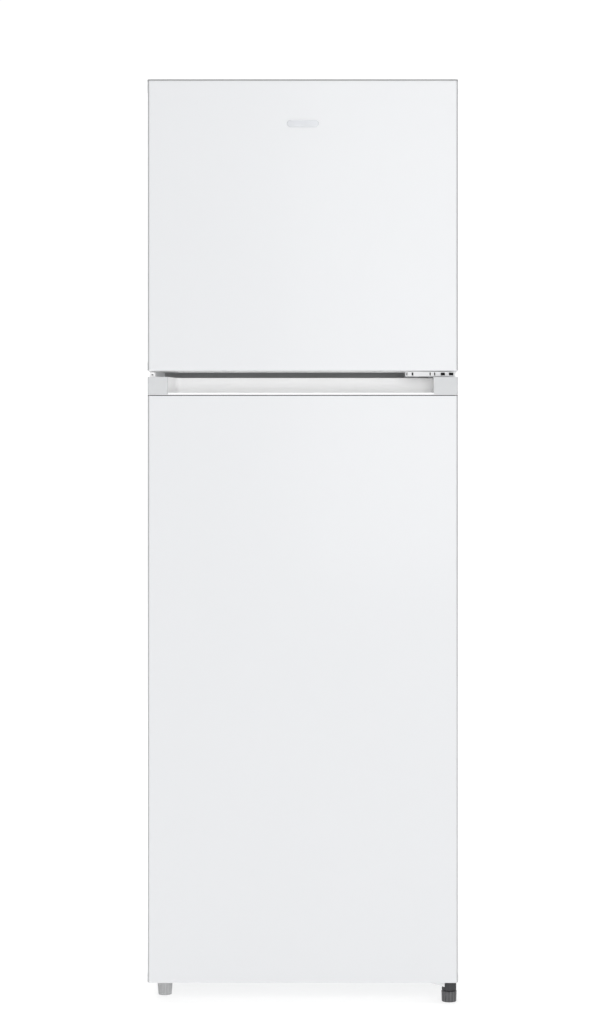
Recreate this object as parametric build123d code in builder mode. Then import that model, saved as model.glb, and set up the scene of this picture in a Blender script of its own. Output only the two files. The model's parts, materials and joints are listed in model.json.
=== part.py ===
"""Top freezer refrigerator: an insulated cabinet, two doors hinged on the right, and their fittings.

Frame: millimetres, +Z up, +X to the right, the doors face -Y.  The origin is the centre of the
footprint on the floor.  Every piece is written to parts/ as its own STEP file.
"""

import os
from dataclasses import dataclass

from build123d import *

# ---- Driving dimensions -------------------------------------------------------------------

# Envelope
width = 545.0
depth = 610.0
height = 1624.0

# Doors
floor_gap = 36.5  # floor to the underside of the fridge door
fridge_door_height = 1065.0
door_gap = 10.5
door_thickness = 55.0
door_corner = 5.0  # rounding of the long front edges
seal_gap = 9.0  # door liner to cabinet face
hinge_from_side = 14.0  # hinge axis to the side of the door
hinge_from_front = 24.0  # hinge axis to the front of the door
pin_radius = 4.0
pin_reach = 14.0  # how far a pin goes into a door
hinge_arm = 8.0  # half the width of the top hinge's arm
cap_proud = 1.2  # how far a cap's skirt stands out at each side
bottom_cap_height = 15.0
top_cap_floor = 16.0  # the freezer cap's recess, down from the top of the door
top_cap_skirt = 22.0
top_cap_plug = 34.0
handle_height = 32.0  # the visible band of the pocket handle
handle_plug = 56.5  # the handle moulding, down from the top of the fridge door
handle_depth = 33.0  # pocket, back from the front of the door
handle_floor = 49.0  # pocket floor, down from the top of the fridge door
handle_lip = 4.0  # how far the pull lip stands up in the band
lip_thickness = 3.0
handle_left = 35.5  # width of the left end piece
handle_right = 42.5  # width of the right end piece
handle_ramp = 14.0  # the pocket's sweeping left end
end_piece = 4.0  # thickness of both end pieces, with their clearance
pad_height = 8.0  # the small stop on top of the left end
seam = 1.2
badge_rise = 0.8
ring_depth = 40.0  # raised frame inside each door
ring_width = 30.0
ring_clear = 10.0  # raised frame to the compartment's wall
gasket_inset = 12.5
gasket_width = 14.0

# Cabinet
cabinet_floor = 40.0
hinge_recess = 14.0  # the cabinet's top lies this far under the top of the doors
cabinet_corner = 8.0
face_flange = 26.0  # folded steel around the cabinet's face
rail_height = 64.0
fridge_wall = 42.0
freezer_wall = 52.0
top_wall = 55.0
back_wall = 48.0
bottom_wall = 60.0
mullion = 72.0
rear_spacer = 10.0
cavity_bend = 20.0
cavity_corner = 12.0
ledge = 8.0

# Machine room, at the back of the cabinet's floor
machine_depth = 190.0
machine_height = 200.0
step_wall = 45.0

# Sheet and moulding thicknesses
sheet = 1.0
liner = 2.0
bracket = 3.0
moulding = 2.5
glass = 4.0

# Clearances
fit = 0.2  # between pieces that are fixed together
slip = 0.3  # between pieces that move past each other
running = 0.08  # radial, a pin in its bush
washer_gap = 2.0

# Fittings
fridge_shelves = (490.0, 690.0, 880.0)
crisper_rise = 19.0  # underside of the crisper's glass over the step
freezer_shelf = 1325.0
shelf_set_back = 105.2  # behind the cabinet's face
freezer_shelf_set_back = 90.2
shelf_rear_gap = 22.0  # between a shelf and the fridge's back
cover_depth = 75.0  # face of the evaporator cover to the freezer's back
# Each door bin's floor, up from the lower inner edge of the raised frame, and its height
fridge_bins = ((10.0, 112.0), (300.0, 90.0), (560.0, 90.0), (760.0, 80.0))
fridge_bin_depth = 98.0
freezer_bins = ((10.0, 85.0), (180.0, 85.0))
freezer_bin_depth = 75.0
drawer_depth = 172.0
drawer_headroom = 14.0  # over the drawer, to the underside of its glass
drawer_set_back = 3.0  # behind the shelves' front edges
duct_depth = 12.0
foot_radius = 13.5
foot_height = 21.0
left_foot_height = 17.0
stud_radius = 4.0
roller_radius = 16.0
roller_width = 18.0
axle_radius = 3.0

# ---- Places worked out from them -------------------------------------------------------------

half = width / 2
door_front = -depth / 2 + badge_rise
door_back = door_front + door_thickness
cabinet_front = door_back + seal_gap
cabinet_back = depth / 2 - rear_spacer
cabinet_top = height - hinge_recess
fridge_door_top = floor_gap + fridge_door_height
freezer_door_bottom = fridge_door_top + door_gap
gap_middle = fridge_door_top + door_gap / 2
hinge_x = half - hinge_from_side
hinge_y = door_front + hinge_from_front

fridge_in = half - fridge_wall
freezer_in = half - freezer_wall
interior_back = cabinet_back - back_wall
fridge_bottom = cabinet_floor + bottom_wall
fridge_top = gap_middle - mullion / 2
freezer_bottom = gap_middle + mullion / 2
freezer_top = cabinet_top - top_wall
machine_front = cabinet_back - machine_depth
machine_top = cabinet_floor + machine_height
step_front = machine_front - step_wall
step_top = machine_top + step_wall
crisper_top = step_top + crisper_rise
shelf_front = cabinet_front + shelf_set_back
shelf_back = interior_back - shelf_rear_gap
freezer_shelf_front = cabinet_front + freezer_shelf_set_back
cover_front = interior_back - cover_depth
drawer_front = shelf_front + drawer_set_back
drawer_height = crisper_top - fridge_bottom - drawer_headroom
rail_bottom = gap_middle - rail_height / 2
rail_top = gap_middle + rail_height / 2
face_inner = half - face_flange
machine_floor_top = cabinet_floor + 2 * sheet
handle_seam = fridge_door_top - handle_height
switch_x = 150.0
switch_z = fridge_top - 30
plunger_tip = door_back + ring_depth + slip
switch_y = (plunger_tip + 11, plunger_tip + 46)
plunger_radius = 3.5
cap_face = door_front + sheet + fit  # front of whatever stands behind a door's front sheet
skin_return = door_front + door_corner + sheet  # where a door's front sheet ends beside a cap
rim_front = door_back - liner
pad_x = (-half + 3, -half + 13)


@dataclass(frozen=True)
class Door:
    """Heights of one door's pieces, and the compartment that it closes."""

    bottom: float
    top: float
    skin_top: float
    sides_top: float
    foam_top: float
    rim_top: float
    folded_top: bool
    ring_half: float
    ring_bottom: float
    ring_top: float
    bins: tuple
    bin_depth: float

    @property
    def pocket_half(self):
        """Half the width between the raised frame's inner faces."""
        return self.ring_half - ring_width

    @property
    def shelves(self):
        """Floor and height of each bin."""
        pocket_floor = self.ring_bottom + ring_width
        return [(pocket_floor + rise, tall) for rise, tall in self.bins]


freezer_door = Door(
    bottom=freezer_door_bottom,
    top=height,
    skin_top=height,
    sides_top=height - top_cap_skirt,
    foam_top=height - top_cap_plug,
    rim_top=height - top_cap_floor,
    folded_top=True,
    ring_half=freezer_in - ring_clear,
    ring_bottom=freezer_bottom + ring_clear,
    ring_top=freezer_top - ring_clear,
    bins=freezer_bins,
    bin_depth=freezer_bin_depth,
)
fridge_door = Door(
    bottom=floor_gap,
    top=fridge_door_top,
    skin_top=handle_seam - seam,
    sides_top=handle_seam - seam,
    foam_top=fridge_door_top - handle_plug,
    rim_top=fridge_door_top,
    folded_top=False,
    ring_half=fridge_in - ring_clear,
    ring_bottom=fridge_bottom + ring_clear,
    ring_top=fridge_top - ring_clear,
    bins=fridge_bins,
    bin_depth=fridge_bin_depth,
)


# ---- Helpers, used inside a BuildPart block --------------------------------------------------


def slab(x, y, z, mode=Mode.ADD):
    """Box between two values on each axis."""
    with Locations(((x[0] + x[1]) / 2, (y[0] + y[1]) / 2, (z[0] + z[1]) / 2)):
        Box(x[1] - x[0], y[1] - y[0], z[1] - z[0], mode=mode)


def upright(radius, x, y, z, mode=Mode.ADD):
    """Vertical cylinder from z[0] to z[1]."""
    with Locations((x, y, (z[0] + z[1]) / 2)):
        Cylinder(radius, z[1] - z[0], mode=mode)


def lengthwise(radius, x, y, z, mode=Mode.ADD):
    """Cylinder along Y from y[0] to y[1]."""
    with Locations((x, (y[0] + y[1]) / 2, z)):
        Cylinder(radius, y[1] - y[0], rotation=(90, 0, 0), mode=mode)


def crosswise(radius, x, y, z, mode=Mode.ADD):
    """Cylinder along X from x[0] to x[1]."""
    with Locations(((x[0] + x[1]) / 2, y, z)):
        Cylinder(radius, x[1] - x[0], rotation=(0, 90, 0), mode=mode)


def facing(y):
    """Upright plane at depth y, X to the right and Z up, with its normal to the front."""
    return Plane.XZ.offset(-y)


def behind(y):
    """Filter for edges whose middle lies behind depth y."""
    return lambda edge: edge.center().Y > y


def at(axis, value):
    """Filter for edges and faces whose middle has this value on an axis ('X', 'Y' or 'Z')."""
    return lambda shape: abs(getattr(shape.center(), axis) - value) < 0.01


# ---- Cabinet ---------------------------------------------------------------------------------


def compartment(corners, half_width, grow):
    """Solid the shape of a compartment, from (y, z, bend) corners behind the cabinet's face."""
    floor = min(z for _, z, _ in corners)
    roof = max(z for _, z, _ in corners)
    mouth = [(cabinet_front, roof), (cabinet_front, floor)]
    with BuildPart() as hollow:
        with BuildSketch(Plane.YZ) as side:
            with BuildLine():
                Polyline(*mouth, *[(y, z) for y, z, _ in corners], close=True)
            make_face()
            for y, z, bend in corners:
                fillet(side.vertices().sort_by_distance((y, z))[0], bend)
        extrude(amount=half_width + grow, both=True)
        ends = hollow.faces().filter_by(Axis.X)
        fillet(ends.edges().filter_by(behind(cabinet_front + 0.1)), cavity_corner + grow)
    return hollow.part


def freezer_compartment(grow):
    """The freezer's inside, or its liner's outside when grown by the liner's thickness."""
    bend = cavity_bend + grow
    corners = [
        (interior_back + grow, freezer_bottom - grow, bend),
        (interior_back + grow, freezer_top + grow, bend),
    ]
    return compartment(corners, freezer_in, grow)


def fridge_compartment(grow):
    """The fridge's inside, with the step over the machine room."""
    bend = cavity_bend + grow
    corners = [
        (step_front + grow, fridge_bottom - grow, bend),
        (step_front + grow, step_top - grow, cavity_bend - grow),
        (interior_back + grow, step_top - grow, bend),
        (interior_back + grow, fridge_top + grow, bend),
    ]
    return compartment(corners, fridge_in, grow)


def make_cabinet_shell():
    """Painted steel wrapped over both sides and the top, with a flange folded round the face."""
    with BuildPart() as shell:
        slab((-half, half), (cabinet_front, cabinet_back), (cabinet_floor, cabinet_top))
        fillet(shell.edges().filter_by(Axis.Y).group_by(Axis.Z)[-1], cabinet_corner)
        tall = cabinet_top - sheet - cabinet_floor
        with BuildSketch(facing(cabinet_front + sheet)) as inside:
            with Locations((0, cabinet_floor + tall / 2)):
                Rectangle(width - 2 * sheet, tall)
            fillet(inside.vertices().group_by(Axis.Y)[-1], cabinet_corner - sheet)
        extrude(amount=-(cabinet_back - cabinet_front), mode=Mode.SUBTRACT)
        slab(
            (-face_inner, face_inner),
            (cabinet_front - 1, cabinet_front + sheet),
            (cabinet_floor - 1, cabinet_top - face_flange),
            Mode.SUBTRACT,
        )
    return shell


def make_cabinet_foam():
    """Rigid foam that fills the cabinet between its steel and its liners."""
    fridge_hole = fridge_compartment(liner)
    freezer_hole = freezer_compartment(liner)
    with BuildPart() as foam:
        slab(
            (-half + sheet, half - sheet),
            (cabinet_front + sheet, cabinet_back - sheet),
            (cabinet_floor + sheet, cabinet_top - sheet),
        )
        fillet(foam.edges().filter_by(Axis.Y).group_by(Axis.Z)[-1], cabinet_corner - sheet)
        slab(
            (-half, half),
            (machine_front - sheet, cabinet_back),
            (cabinet_floor, machine_top + sheet),
            Mode.SUBTRACT,
        )
        add(fridge_hole, mode=Mode.SUBTRACT)
        add(freezer_hole, mode=Mode.SUBTRACT)
    return foam


def make_freezer_liner():
    """White moulded inside of the freezer, with a ledge each side for its shelf."""
    outside = freezer_compartment(liner)
    inside = freezer_compartment(0)
    with BuildPart() as moulded:
        add(outside)
        slab(
            (-face_inner, face_inner),
            (cabinet_front, cabinet_front + sheet),
            (rail_top, cabinet_top - face_flange),
        )
        add(inside, mode=Mode.SUBTRACT)
        for side in (-1, 1):
            shelf_ledge(side, freezer_in, freezer_shelf, freezer_shelf_front, cover_front)
    return moulded


def shelf_ledge(side, wall, top, front, back):
    """Rib on a side wall that a shelf stands on, with its front end clear of the shelf's trim."""
    x = sorted((side * wall, side * (wall - ledge)))
    slab(x, (front + 22, back - 18), (top - 6, top))


def make_fridge_liner():
    """White moulded inside of the fridge, with its shelves' ledges and the lamp switch's boss."""
    outside = fridge_compartment(liner)
    inside = fridge_compartment(0)
    with BuildPart() as moulded:
        add(outside)
        slab(
            (-face_inner, face_inner),
            (cabinet_front, cabinet_front + sheet),
            (cabinet_floor + face_flange, rail_bottom),
        )
        add(inside, mode=Mode.SUBTRACT)
        for top in (crisper_top, *fridge_shelves):
            for side in (-1, 1):
                shelf_ledge(side, fridge_in, top, shelf_front, shelf_back)
        slab((switch_x - 11, switch_x + 11), switch_y, (switch_z - 9, fridge_top + 1))
        lengthwise(
            plunger_radius + running,
            switch_x,
            (switch_y[0] - 1, switch_y[1] - 6),
            switch_z,
            Mode.SUBTRACT,
        )
    return moulded


def make_centre_rail():
    """Steel rail across the cabinet's face between the two compartments."""
    with BuildPart() as rail:
        slab(
            (-face_inner, face_inner),
            (cabinet_front, cabinet_front + sheet),
            (rail_bottom, rail_top),
        )
    return rail


def make_back_panel():
    """Steel sheet that closes the back of the foamed cabinet, above the machine room."""
    tall = cabinet_top - sheet - machine_top
    with BuildPart() as panel:
        with BuildSketch(facing(cabinet_back - sheet)) as outline:
            with Locations((0, machine_top + tall / 2)):
                Rectangle(width - 2 * sheet, tall)
            fillet(outline.vertices().group_by(Axis.Y)[-1], cabinet_corner - sheet)
        extrude(amount=-sheet)
    return panel


def make_base_pan():
    """Folded steel under the cabinet, stepped up over the machine room."""
    inner = half - sheet
    with BuildPart() as pan:
        slab(
            (-face_inner, face_inner),
            (cabinet_front, cabinet_front + sheet),
            (cabinet_floor, cabinet_floor + face_flange),
        )
        slab(
            (-inner, inner),
            (cabinet_front + sheet, machine_front),
            (cabinet_floor, cabinet_floor + sheet),
        )
        slab(
            (-inner, inner),
            (machine_front - sheet, machine_front),
            (cabinet_floor, machine_top + sheet),
        )
        slab(
            (-inner, inner),
            (machine_front, cabinet_back - sheet),
            (machine_top, machine_top + sheet),
        )
    return pan


def make_rear_spacers():
    """Two ribbed plastic buffers that hold the cabinet off the wall."""
    with BuildPart() as spacers:
        for side in (-1, 1):
            x = side * 190
            slab((x - 25, x + 25), (cabinet_back, cabinet_back + 2), (1480, 1560))
            for rib in (-16, 0, 16):
                slab(
                    (x + rib - 2, x + rib + 2),
                    (cabinet_back, cabinet_back + rear_spacer),
                    (1490, 1550),
                )
    return spacers


# ---- Hinges, brackets, feet and rollers --------------------------------------------------------

top_screws = [(hinge_x - 34, cabinet_front + 22), (hinge_x - 8, cabinet_front + 22)]
top_screws += [(hinge_x - 21, cabinet_front + 44)]
middle_screws = [hinge_x - 68, hinge_x - 54, hinge_x - 31]
floor_screws = [half - 60, half - 25]
screw_head = 4.5
screw_hole = 2.2


def make_top_hinge():
    """Bent plate on the cabinet's top whose arm reaches over the freezer door, with its pin."""
    under = cabinet_top
    with BuildPart() as hinge:
        slab(
            (hinge_x - 44, hinge_x + 9),
            (cabinet_front + 6, cabinet_front + 56),
            (under, under + bracket),
        )
        slab(
            (hinge_x - hinge_arm, hinge_x + hinge_arm),
            (hinge_y, cabinet_front + 20),
            (under, under + bracket),
        )
        upright(hinge_arm, hinge_x, hinge_y, (under, under + bracket))
        upright(pin_radius, hinge_x, hinge_y, (under - washer_gap - pin_reach, under))
        for x, y in top_screws:
            upright(screw_hole, x, y, (under - 1, under + bracket + 1), Mode.SUBTRACT)
    return hinge


def make_top_hinge_cover():
    """Plastic cover over the top hinge's plate and screws."""
    low, high = cabinet_top, cabinet_top + 12
    x = (hinge_x - 50, half - 2)
    y = (cabinet_front + 3, cabinet_front + 66)
    with BuildPart() as cover:
        slab(x, y, (low, high))
        fillet(cover.edges().filter_by(Axis.Z), 6)
        fillet(cover.edges().filter_by(at("Z", high)), 3)
        slab(
            (x[0] + 2, x[1] - 2),
            (y[0] + 2, y[1] - 2),
            (low, high - 2),
            Mode.SUBTRACT,
        )
        slab(
            (hinge_x - hinge_arm - slip, hinge_x + hinge_arm + slip),
            (y[0] - 1, y[0] + 3),
            (low, low + bracket + slip),
            Mode.SUBTRACT,
        )
    return cover


def make_middle_hinge():
    """Plate screwed to the centre rail, with an arm in the gap and a pin into each door."""
    arm = (gap_middle - 1.75, gap_middle + 1.75)
    with BuildPart() as hinge:
        slab(
            (hinge_x - 78, hinge_x + 4),
            (cabinet_front - bracket, cabinet_front),
            (gap_middle - 15, gap_middle + 15),
        )
        fillet(hinge.edges().filter_by(Axis.Y), 3)
        slab((hinge_x - 24, hinge_x + 10), (hinge_y, cabinet_front - bracket), arm)
        upright(10, hinge_x, hinge_y, arm)
        pins = (
            fridge_door_top - pin_reach + 1,
            freezer_door_bottom + pin_reach - 1,
        )
        upright(pin_radius, hinge_x, hinge_y, pins)
        shoulder = (fridge_door_top + slip, freezer_door_bottom - slip)
        upright(7.5, hinge_x, hinge_y, shoulder)
        for x in middle_screws:
            lengthwise(
                screw_hole,
                x,
                (cabinet_front - bracket - 1, cabinet_front + 1),
                gap_middle,
                Mode.SUBTRACT,
            )
    return hinge


arm_top = floor_gap - 7.5
boss_bottom = 8.0


def make_bottom_hinge():
    """Folded bracket under the cabinet's right front, with the door's pin and the foot's nut."""
    arm = (arm_top - bracket, arm_top)
    under = (cabinet_floor - bracket, cabinet_floor)
    with BuildPart() as hinge:
        slab((half - 76, half - 2), (cabinet_front, cabinet_front + 52), under)
        with BuildSketch(facing(cabinet_front)):
            with BuildLine():
                Polyline(
                    (half - 82, cabinet_floor + 6),
                    (half - 52, cabinet_floor - 4),
                    (half - 28, arm[0]),
                    (half - 2, arm[0]),
                    (half - 2, cabinet_floor + 6),
                    close=True,
                )
            make_face()
        extrude(amount=bracket)
        slab((hinge_x - 12, half - 2), (hinge_y, cabinet_front - bracket), arm)
        upright(12, hinge_x, hinge_y, arm)
        upright(pin_radius, hinge_x, hinge_y, (arm_top, floor_gap + pin_reach - 1))
        upright(7.5, hinge_x, hinge_y, (boss_bottom, arm[0]))
        upright(
            stud_radius + running,
            hinge_x,
            hinge_y,
            (boss_bottom - 1, arm[1] - 1),
            Mode.SUBTRACT,
        )
        for x in floor_screws:
            upright(
                screw_hole,
                x,
                cabinet_front + 30,
                (under[0] - 1, under[1] + 1),
                Mode.SUBTRACT,
            )
    return hinge


left_foot_x = -half + 25.5
left_foot_y = cabinet_front + 11


def make_left_bracket():
    """Plate under the cabinet's left front with the nut for the left foot."""
    under = (cabinet_floor - bracket, cabinet_floor)
    with BuildPart() as plate:
        slab((-half + 2, -half + 76), (cabinet_front, cabinet_front + 62), under)
        upright(7.5, left_foot_x, left_foot_y, (boss_bottom, under[0]))
        upright(
            stud_radius + running,
            left_foot_x,
            left_foot_y,
            (boss_bottom - 1, under[1]),
            Mode.SUBTRACT,
        )
        for x in floor_screws:
            upright(
                screw_hole,
                -x,
                cabinet_front + 45,
                (under[0] - 1, under[1] + 1),
                Mode.SUBTRACT,
            )
    return plate


def foot(x, y, tall, top_radius, bottom_radius, stud_top, ribs):
    """Levelling foot: a cup that turns on a stud, with the bracket's nut inside it."""
    with BuildPart() as cup:
        with BuildSketch(Plane.XY):
            Circle(bottom_radius)
        with BuildSketch(Plane.XY.offset(tall)):
            Circle(top_radius)
        loft()
        fillet(cup.edges().filter_by(at("Z", 0)), 1.5)
        if ribs:
            with PolarLocations(top_radius, ribs):
                with Locations((0, 0, tall / 2)):
                    Cylinder(0.9, tall + 2, mode=Mode.SUBTRACT)
        upright(8.6, 0, 0, (5, tall + 1), Mode.SUBTRACT)
        upright(stud_radius, 0, 0, (4, stud_top))
    cup.part.position = (x, y, 0)
    return cup


def make_left_foot():
    """Smooth tapered foot, set back under the cabinet."""
    stud_top = cabinet_floor - 1
    return foot(left_foot_x, left_foot_y, left_foot_height, 14.0, 12.2, stud_top, 0)


def make_right_foot():
    """Ribbed foot on the axis of the doors' hinges."""
    stud_top = arm_top - 1.5
    return foot(
        hinge_x, hinge_y, foot_height, foot_radius, foot_radius - 0.3, stud_top, 20
    )


roller_x = half - 45
roller_y = cabinet_back - 40


def make_roller(side):
    """Plastic rear roller, bored for its axle."""
    x = side * roller_x
    ends = (x - roller_width / 2, x + roller_width / 2)
    with BuildPart() as roller:
        crosswise(roller_radius, ends, roller_y, roller_radius)
        fillet(roller.edges(), 2)
        for end in ends:
            crosswise(10, (end - 3, end + 3), roller_y, roller_radius, Mode.SUBTRACT)
        crosswise(6, ends, roller_y, roller_radius)
        crosswise(
            axle_radius + running,
            (ends[0] - 1, ends[1] + 1),
            roller_y,
            roller_radius,
            Mode.SUBTRACT,
        )
    return roller


def pan_head(x, y, z, rotation, length):
    """Cross-head screw with the underside of its head at a point, shank along its own -Z."""
    with Locations(Location((x, y, z), rotation)):
        with Locations((0, 0, 1.2)):
            Cylinder(screw_head, 2.4)
        with Locations((0, 0, -length / 2)):
            Cylinder(screw_hole - 0.15, length)
        with Locations((0, 0, 2.0)):
            Box(5, 1, 1, mode=Mode.SUBTRACT)
            Box(1, 5, 1, mode=Mode.SUBTRACT)


def make_hinge_screws():
    """The screws that hold the hinges and the left bracket."""
    with BuildPart() as screws:
        for x, y in top_screws:
            pan_head(x, y, cabinet_top + bracket, (0, 0, 0), bracket)
        for x in middle_screws:
            pan_head(x, cabinet_front - bracket, gap_middle, (90, 0, 0), bracket)
        for x in floor_screws:
            low = cabinet_floor - bracket
            pan_head(x, cabinet_front + 30, low, (180, 0, 0), bracket)
            pan_head(-x, cabinet_front + 45, low, (180, 0, 0), bracket)
    return screws


# ---- Machine room -----------------------------------------------------------------------------

compressor_x = -95.0
compressor_y = machine_front + 90
compressor_radius = 68.0
mount_height = 16.0
plate_top = machine_floor_top + mount_height + bracket
compressor_top = plate_top + 144
stub_end = compressor_x + compressor_radius + 14


def make_machine_floor():
    """Steel plate across the bottom of the machine room, with a fork for each rear roller."""
    cheek = roller_width / 2 + 1
    with BuildPart() as plate:
        slab(
            (-half + sheet + fit, half - sheet - fit),
            (machine_front, cabinet_back - 4),
            (cabinet_floor, machine_floor_top),
        )
        for side in (-1, 1):
            x = side * roller_x
            for outward in (-1, 1):
                cheek_x = sorted((x + outward * cheek, x + outward * (cheek + 2)))
                slab(
                    cheek_x,
                    (roller_y - 11, roller_y + 11),
                    (roller_radius - 7, cabinet_floor),
                )
            crosswise(axle_radius, (x - cheek - 4, x + cheek + 4), roller_y, roller_radius)
    return plate


def make_compressor():
    """Welded steel compressor can on its foot plate, with two pipe stubs."""
    with BuildPart() as can:
        upright(
            compressor_radius, compressor_x, compressor_y, (plate_top, compressor_top)
        )
        fillet(can.edges().filter_by(at("Z", compressor_top)), 36)
        fillet(can.edges().filter_by(at("Z", plate_top)), 14)
        seam_z = plate_top + 86
        upright(
            compressor_radius + 2.5,
            compressor_x,
            compressor_y,
            (seam_z, seam_z + 5),
        )
        slab(
            (compressor_x - 100, compressor_x + 100),
            (compressor_y - 62, compressor_y + 62),
            (plate_top - bracket, plate_top),
        )
        fillet(can.edges().filter_by(Axis.Z).group_by(Axis.Z)[0], 14)
        for y, z in ((compressor_y - 18, plate_top + 60), (compressor_y + 18, plate_top + 60)):
            crosswise(5, (compressor_x + 40, stub_end), y, z)
    return can


def make_compressor_mounts():
    """Four rubber grommets between the compressor's plate and the floor."""
    with BuildPart() as mounts:
        for dx in (-84, 84):
            for dy in (-46, 46):
                x, y = compressor_x + dx, compressor_y + dy
                low = machine_floor_top
                upright(12, x, y, (low, low + 5))
                upright(9, x, y, (low + 5, low + 11))
                upright(12, x, y, (low + 11, low + mount_height))
    return mounts


def make_drain_pan():
    """Tray on top of the compressor in which defrost water dries."""
    low = compressor_top
    x = (compressor_x - 85, compressor_x + 85)
    y = (compressor_y - 70, compressor_y + 70)
    with BuildPart() as pan:
        slab(x, y, (low, low + 26))
        fillet(pan.edges().filter_by(Axis.Z), 12)
        slab(
            (x[0] + 2, x[1] - 2),
            (y[0] + 2, y[1] - 2),
            (low + 2, low + 27),
            Mode.SUBTRACT,
        )
    return pan


dryer_x = compressor_x + 150
dryer_y = compressor_y + 18


def pipe(points, bend, radius):
    """Bent tube along a path of straight runs, its first run along X."""
    with BuildLine() as path:
        FilletPolyline(*points, radius=bend)
    with BuildSketch(Plane(origin=points[0], z_dir=(1, 0, 0))) as section:
        Circle(radius)
    sweep(section.sketch, path=path.line)


def make_refrigerant_pipes():
    """Copper lines from the compressor up into the foam, one through its filter dryer."""
    stub_z = plate_top + 60
    suction_y, discharge_y = compressor_y - 18, compressor_y + 18
    with BuildPart() as pipes:
        pipe(
            [
                (stub_end, suction_y, stub_z),
                (dryer_x - 30, suction_y, stub_z),
                (dryer_x - 30, suction_y, machine_top),
            ],
            18,
            4,
        )
        pipe(
            [
                (stub_end, discharge_y, stub_z),
                (dryer_x, discharge_y, stub_z),
                (dryer_x, discharge_y, plate_top + 95),
            ],
            18,
            3,
        )
        upright(9, dryer_x, dryer_y, (plate_top + 95, plate_top + 155))
        upright(3, dryer_x, dryer_y, (plate_top + 155, machine_top))
    return pipes


gland_x = half - 70
gland_z = machine_top - 40


def make_machine_cover():
    """Rear cover of the machine room, with louvre slots and a hole for the cable gland."""
    low, high = machine_floor_top + slip, machine_top - slip
    with BuildPart() as cover:
        slab(
            (-half + sheet + slip, half - sheet - slip),
            (cabinet_back - 2, cabinet_back),
            (low, high),
        )
        for x in (-130, 70):
            for row in range(8):
                z = low + 40 + row * 15
                slab(
                    (x - 65, x + 65),
                    (cabinet_back - 3, cabinet_back + 1),
                    (z, z + 5),
                    Mode.SUBTRACT,
                )
        lengthwise(
            8 + fit,
            gland_x,
            (cabinet_back - 3, cabinet_back + 1),
            gland_z,
            Mode.SUBTRACT,
        )
    return cover


def make_cable_gland():
    """Rubber gland for the mains lead, in the machine room's cover."""
    with BuildPart() as gland:
        lengthwise(8, gland_x, (cabinet_back - 6, cabinet_back + 2), gland_z)
        lengthwise(11, gland_x, (cabinet_back, cabinet_back + 3), gland_z)
        lengthwise(11, gland_x, (cabinet_back - 5, cabinet_back - 2), gland_z)
        lengthwise(
            3.6,
            gland_x,
            (cabinet_back - 8, cabinet_back + 5),
            gland_z,
            Mode.SUBTRACT,
        )
    return gland


# ---- Freezer fittings ---------------------------------------------------------------------------

fan_z = freezer_top - 105
fan_radius = 52.0
shaft_radius = 2.5
shaft_front = cover_front + 20
slider_z = fan_z - 85
slider_travel = 36.0


def make_evaporator_cover():
    """Panel that hides the evaporator, with the fan's grille, return slots and slider slot."""
    low, high = freezer_bottom, freezer_top
    back = cover_front + 8
    raised = (cover_front, back)
    with BuildPart() as cover:
        slab((-freezer_in + 1, freezer_in - 1), (back - 3, back), (low + 1, high - 1))
        fillet(cover.edges().filter_by(Axis.Y), cavity_corner)
        slab((-130, 130), raised, (low + 70, high - 18))
        fillet(cover.edges().filter_by(Axis.Y).filter_by(at("Y", cover_front + 2.5)), 16)
        slab(
            (-127, 127),
            (cover_front + 3, back + 1),
            (low + 73, high - 21),
            Mode.SUBTRACT,
        )
        lengthwise(fan_radius, 0, (cover_front - 1, cover_front + 4), fan_z, Mode.SUBTRACT)
        for ring in (16, 34):
            lengthwise(ring + 1.5, 0, (cover_front, cover_front + 3), fan_z)
            lengthwise(
                ring - 1.5,
                0,
                (cover_front - 1, cover_front + 4),
                fan_z,
                Mode.SUBTRACT,
            )
        for angle in range(0, 180, 45):
            with Locations(Location((0, cover_front + 1.5, fan_z), (0, angle, 0))):
                Box(2 * fan_radius + 2, 3, 2.4)
        for column in range(-5, 6):
            slab(
                (column * 36 - 12, column * 36 + 12),
                (back - 4, back + 1),
                (low + 18, low + 44),
                Mode.SUBTRACT,
            )
        slab(
            (-slider_travel / 2 - 4, slider_travel / 2 + 4),
            (cover_front - 1, cover_front + 4),
            (slider_z - 3, slider_z + 3),
            Mode.SUBTRACT,
        )
    return cover


def make_temperature_slider():
    """Freezer temperature slide: a ridged button in front of the panel, on a stem in its slot."""
    x = -slider_travel / 2
    front = cover_front - slip
    with BuildPart() as slider:
        slab((x - 9, x + 9), (front - 5, front), (slider_z - 7, slider_z + 7))
        fillet(slider.edges().filter_by(at("Y", front - 5)), 1.5)
        slab((x - 3, x + 3), (front, cover_front + 7), (slider_z - 2.6, slider_z + 2.6))
        slab(
            (x - 9, x + 9),
            (cover_front + 3 + slip, cover_front + 6),
            (slider_z - 7, slider_z + 7),
        )
    return slider


def make_evaporator():
    """Aluminium fin block on its tubes, between end plates that stand on the liner's back."""
    low = freezer_bottom + 40
    y = (cover_front + 16, interior_back - 12)
    fins, tall, half_width = 22, 190.0, 165.0
    pitch = 2 * half_width / (fins - 1)
    with BuildPart() as block:
        for fin in range(fins):
            x = -half_width + fin * pitch
            slab((x - 0.6, x + 0.6), y, (low, low + tall))
        for row in range(5):
            for tube_y in (y[0] + 14, y[1] - 14):
                z = low + 18 + row * (tall - 36) / 4
                crosswise(4, (-half_width - 12, half_width + 12), tube_y, z)
        for side in (-1, 1):
            x = sorted((side * (half_width + 12), side * (half_width + 14)))
            slab(x, (y[0], interior_back), (low + 4, low + tall - 4))
    return block


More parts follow.
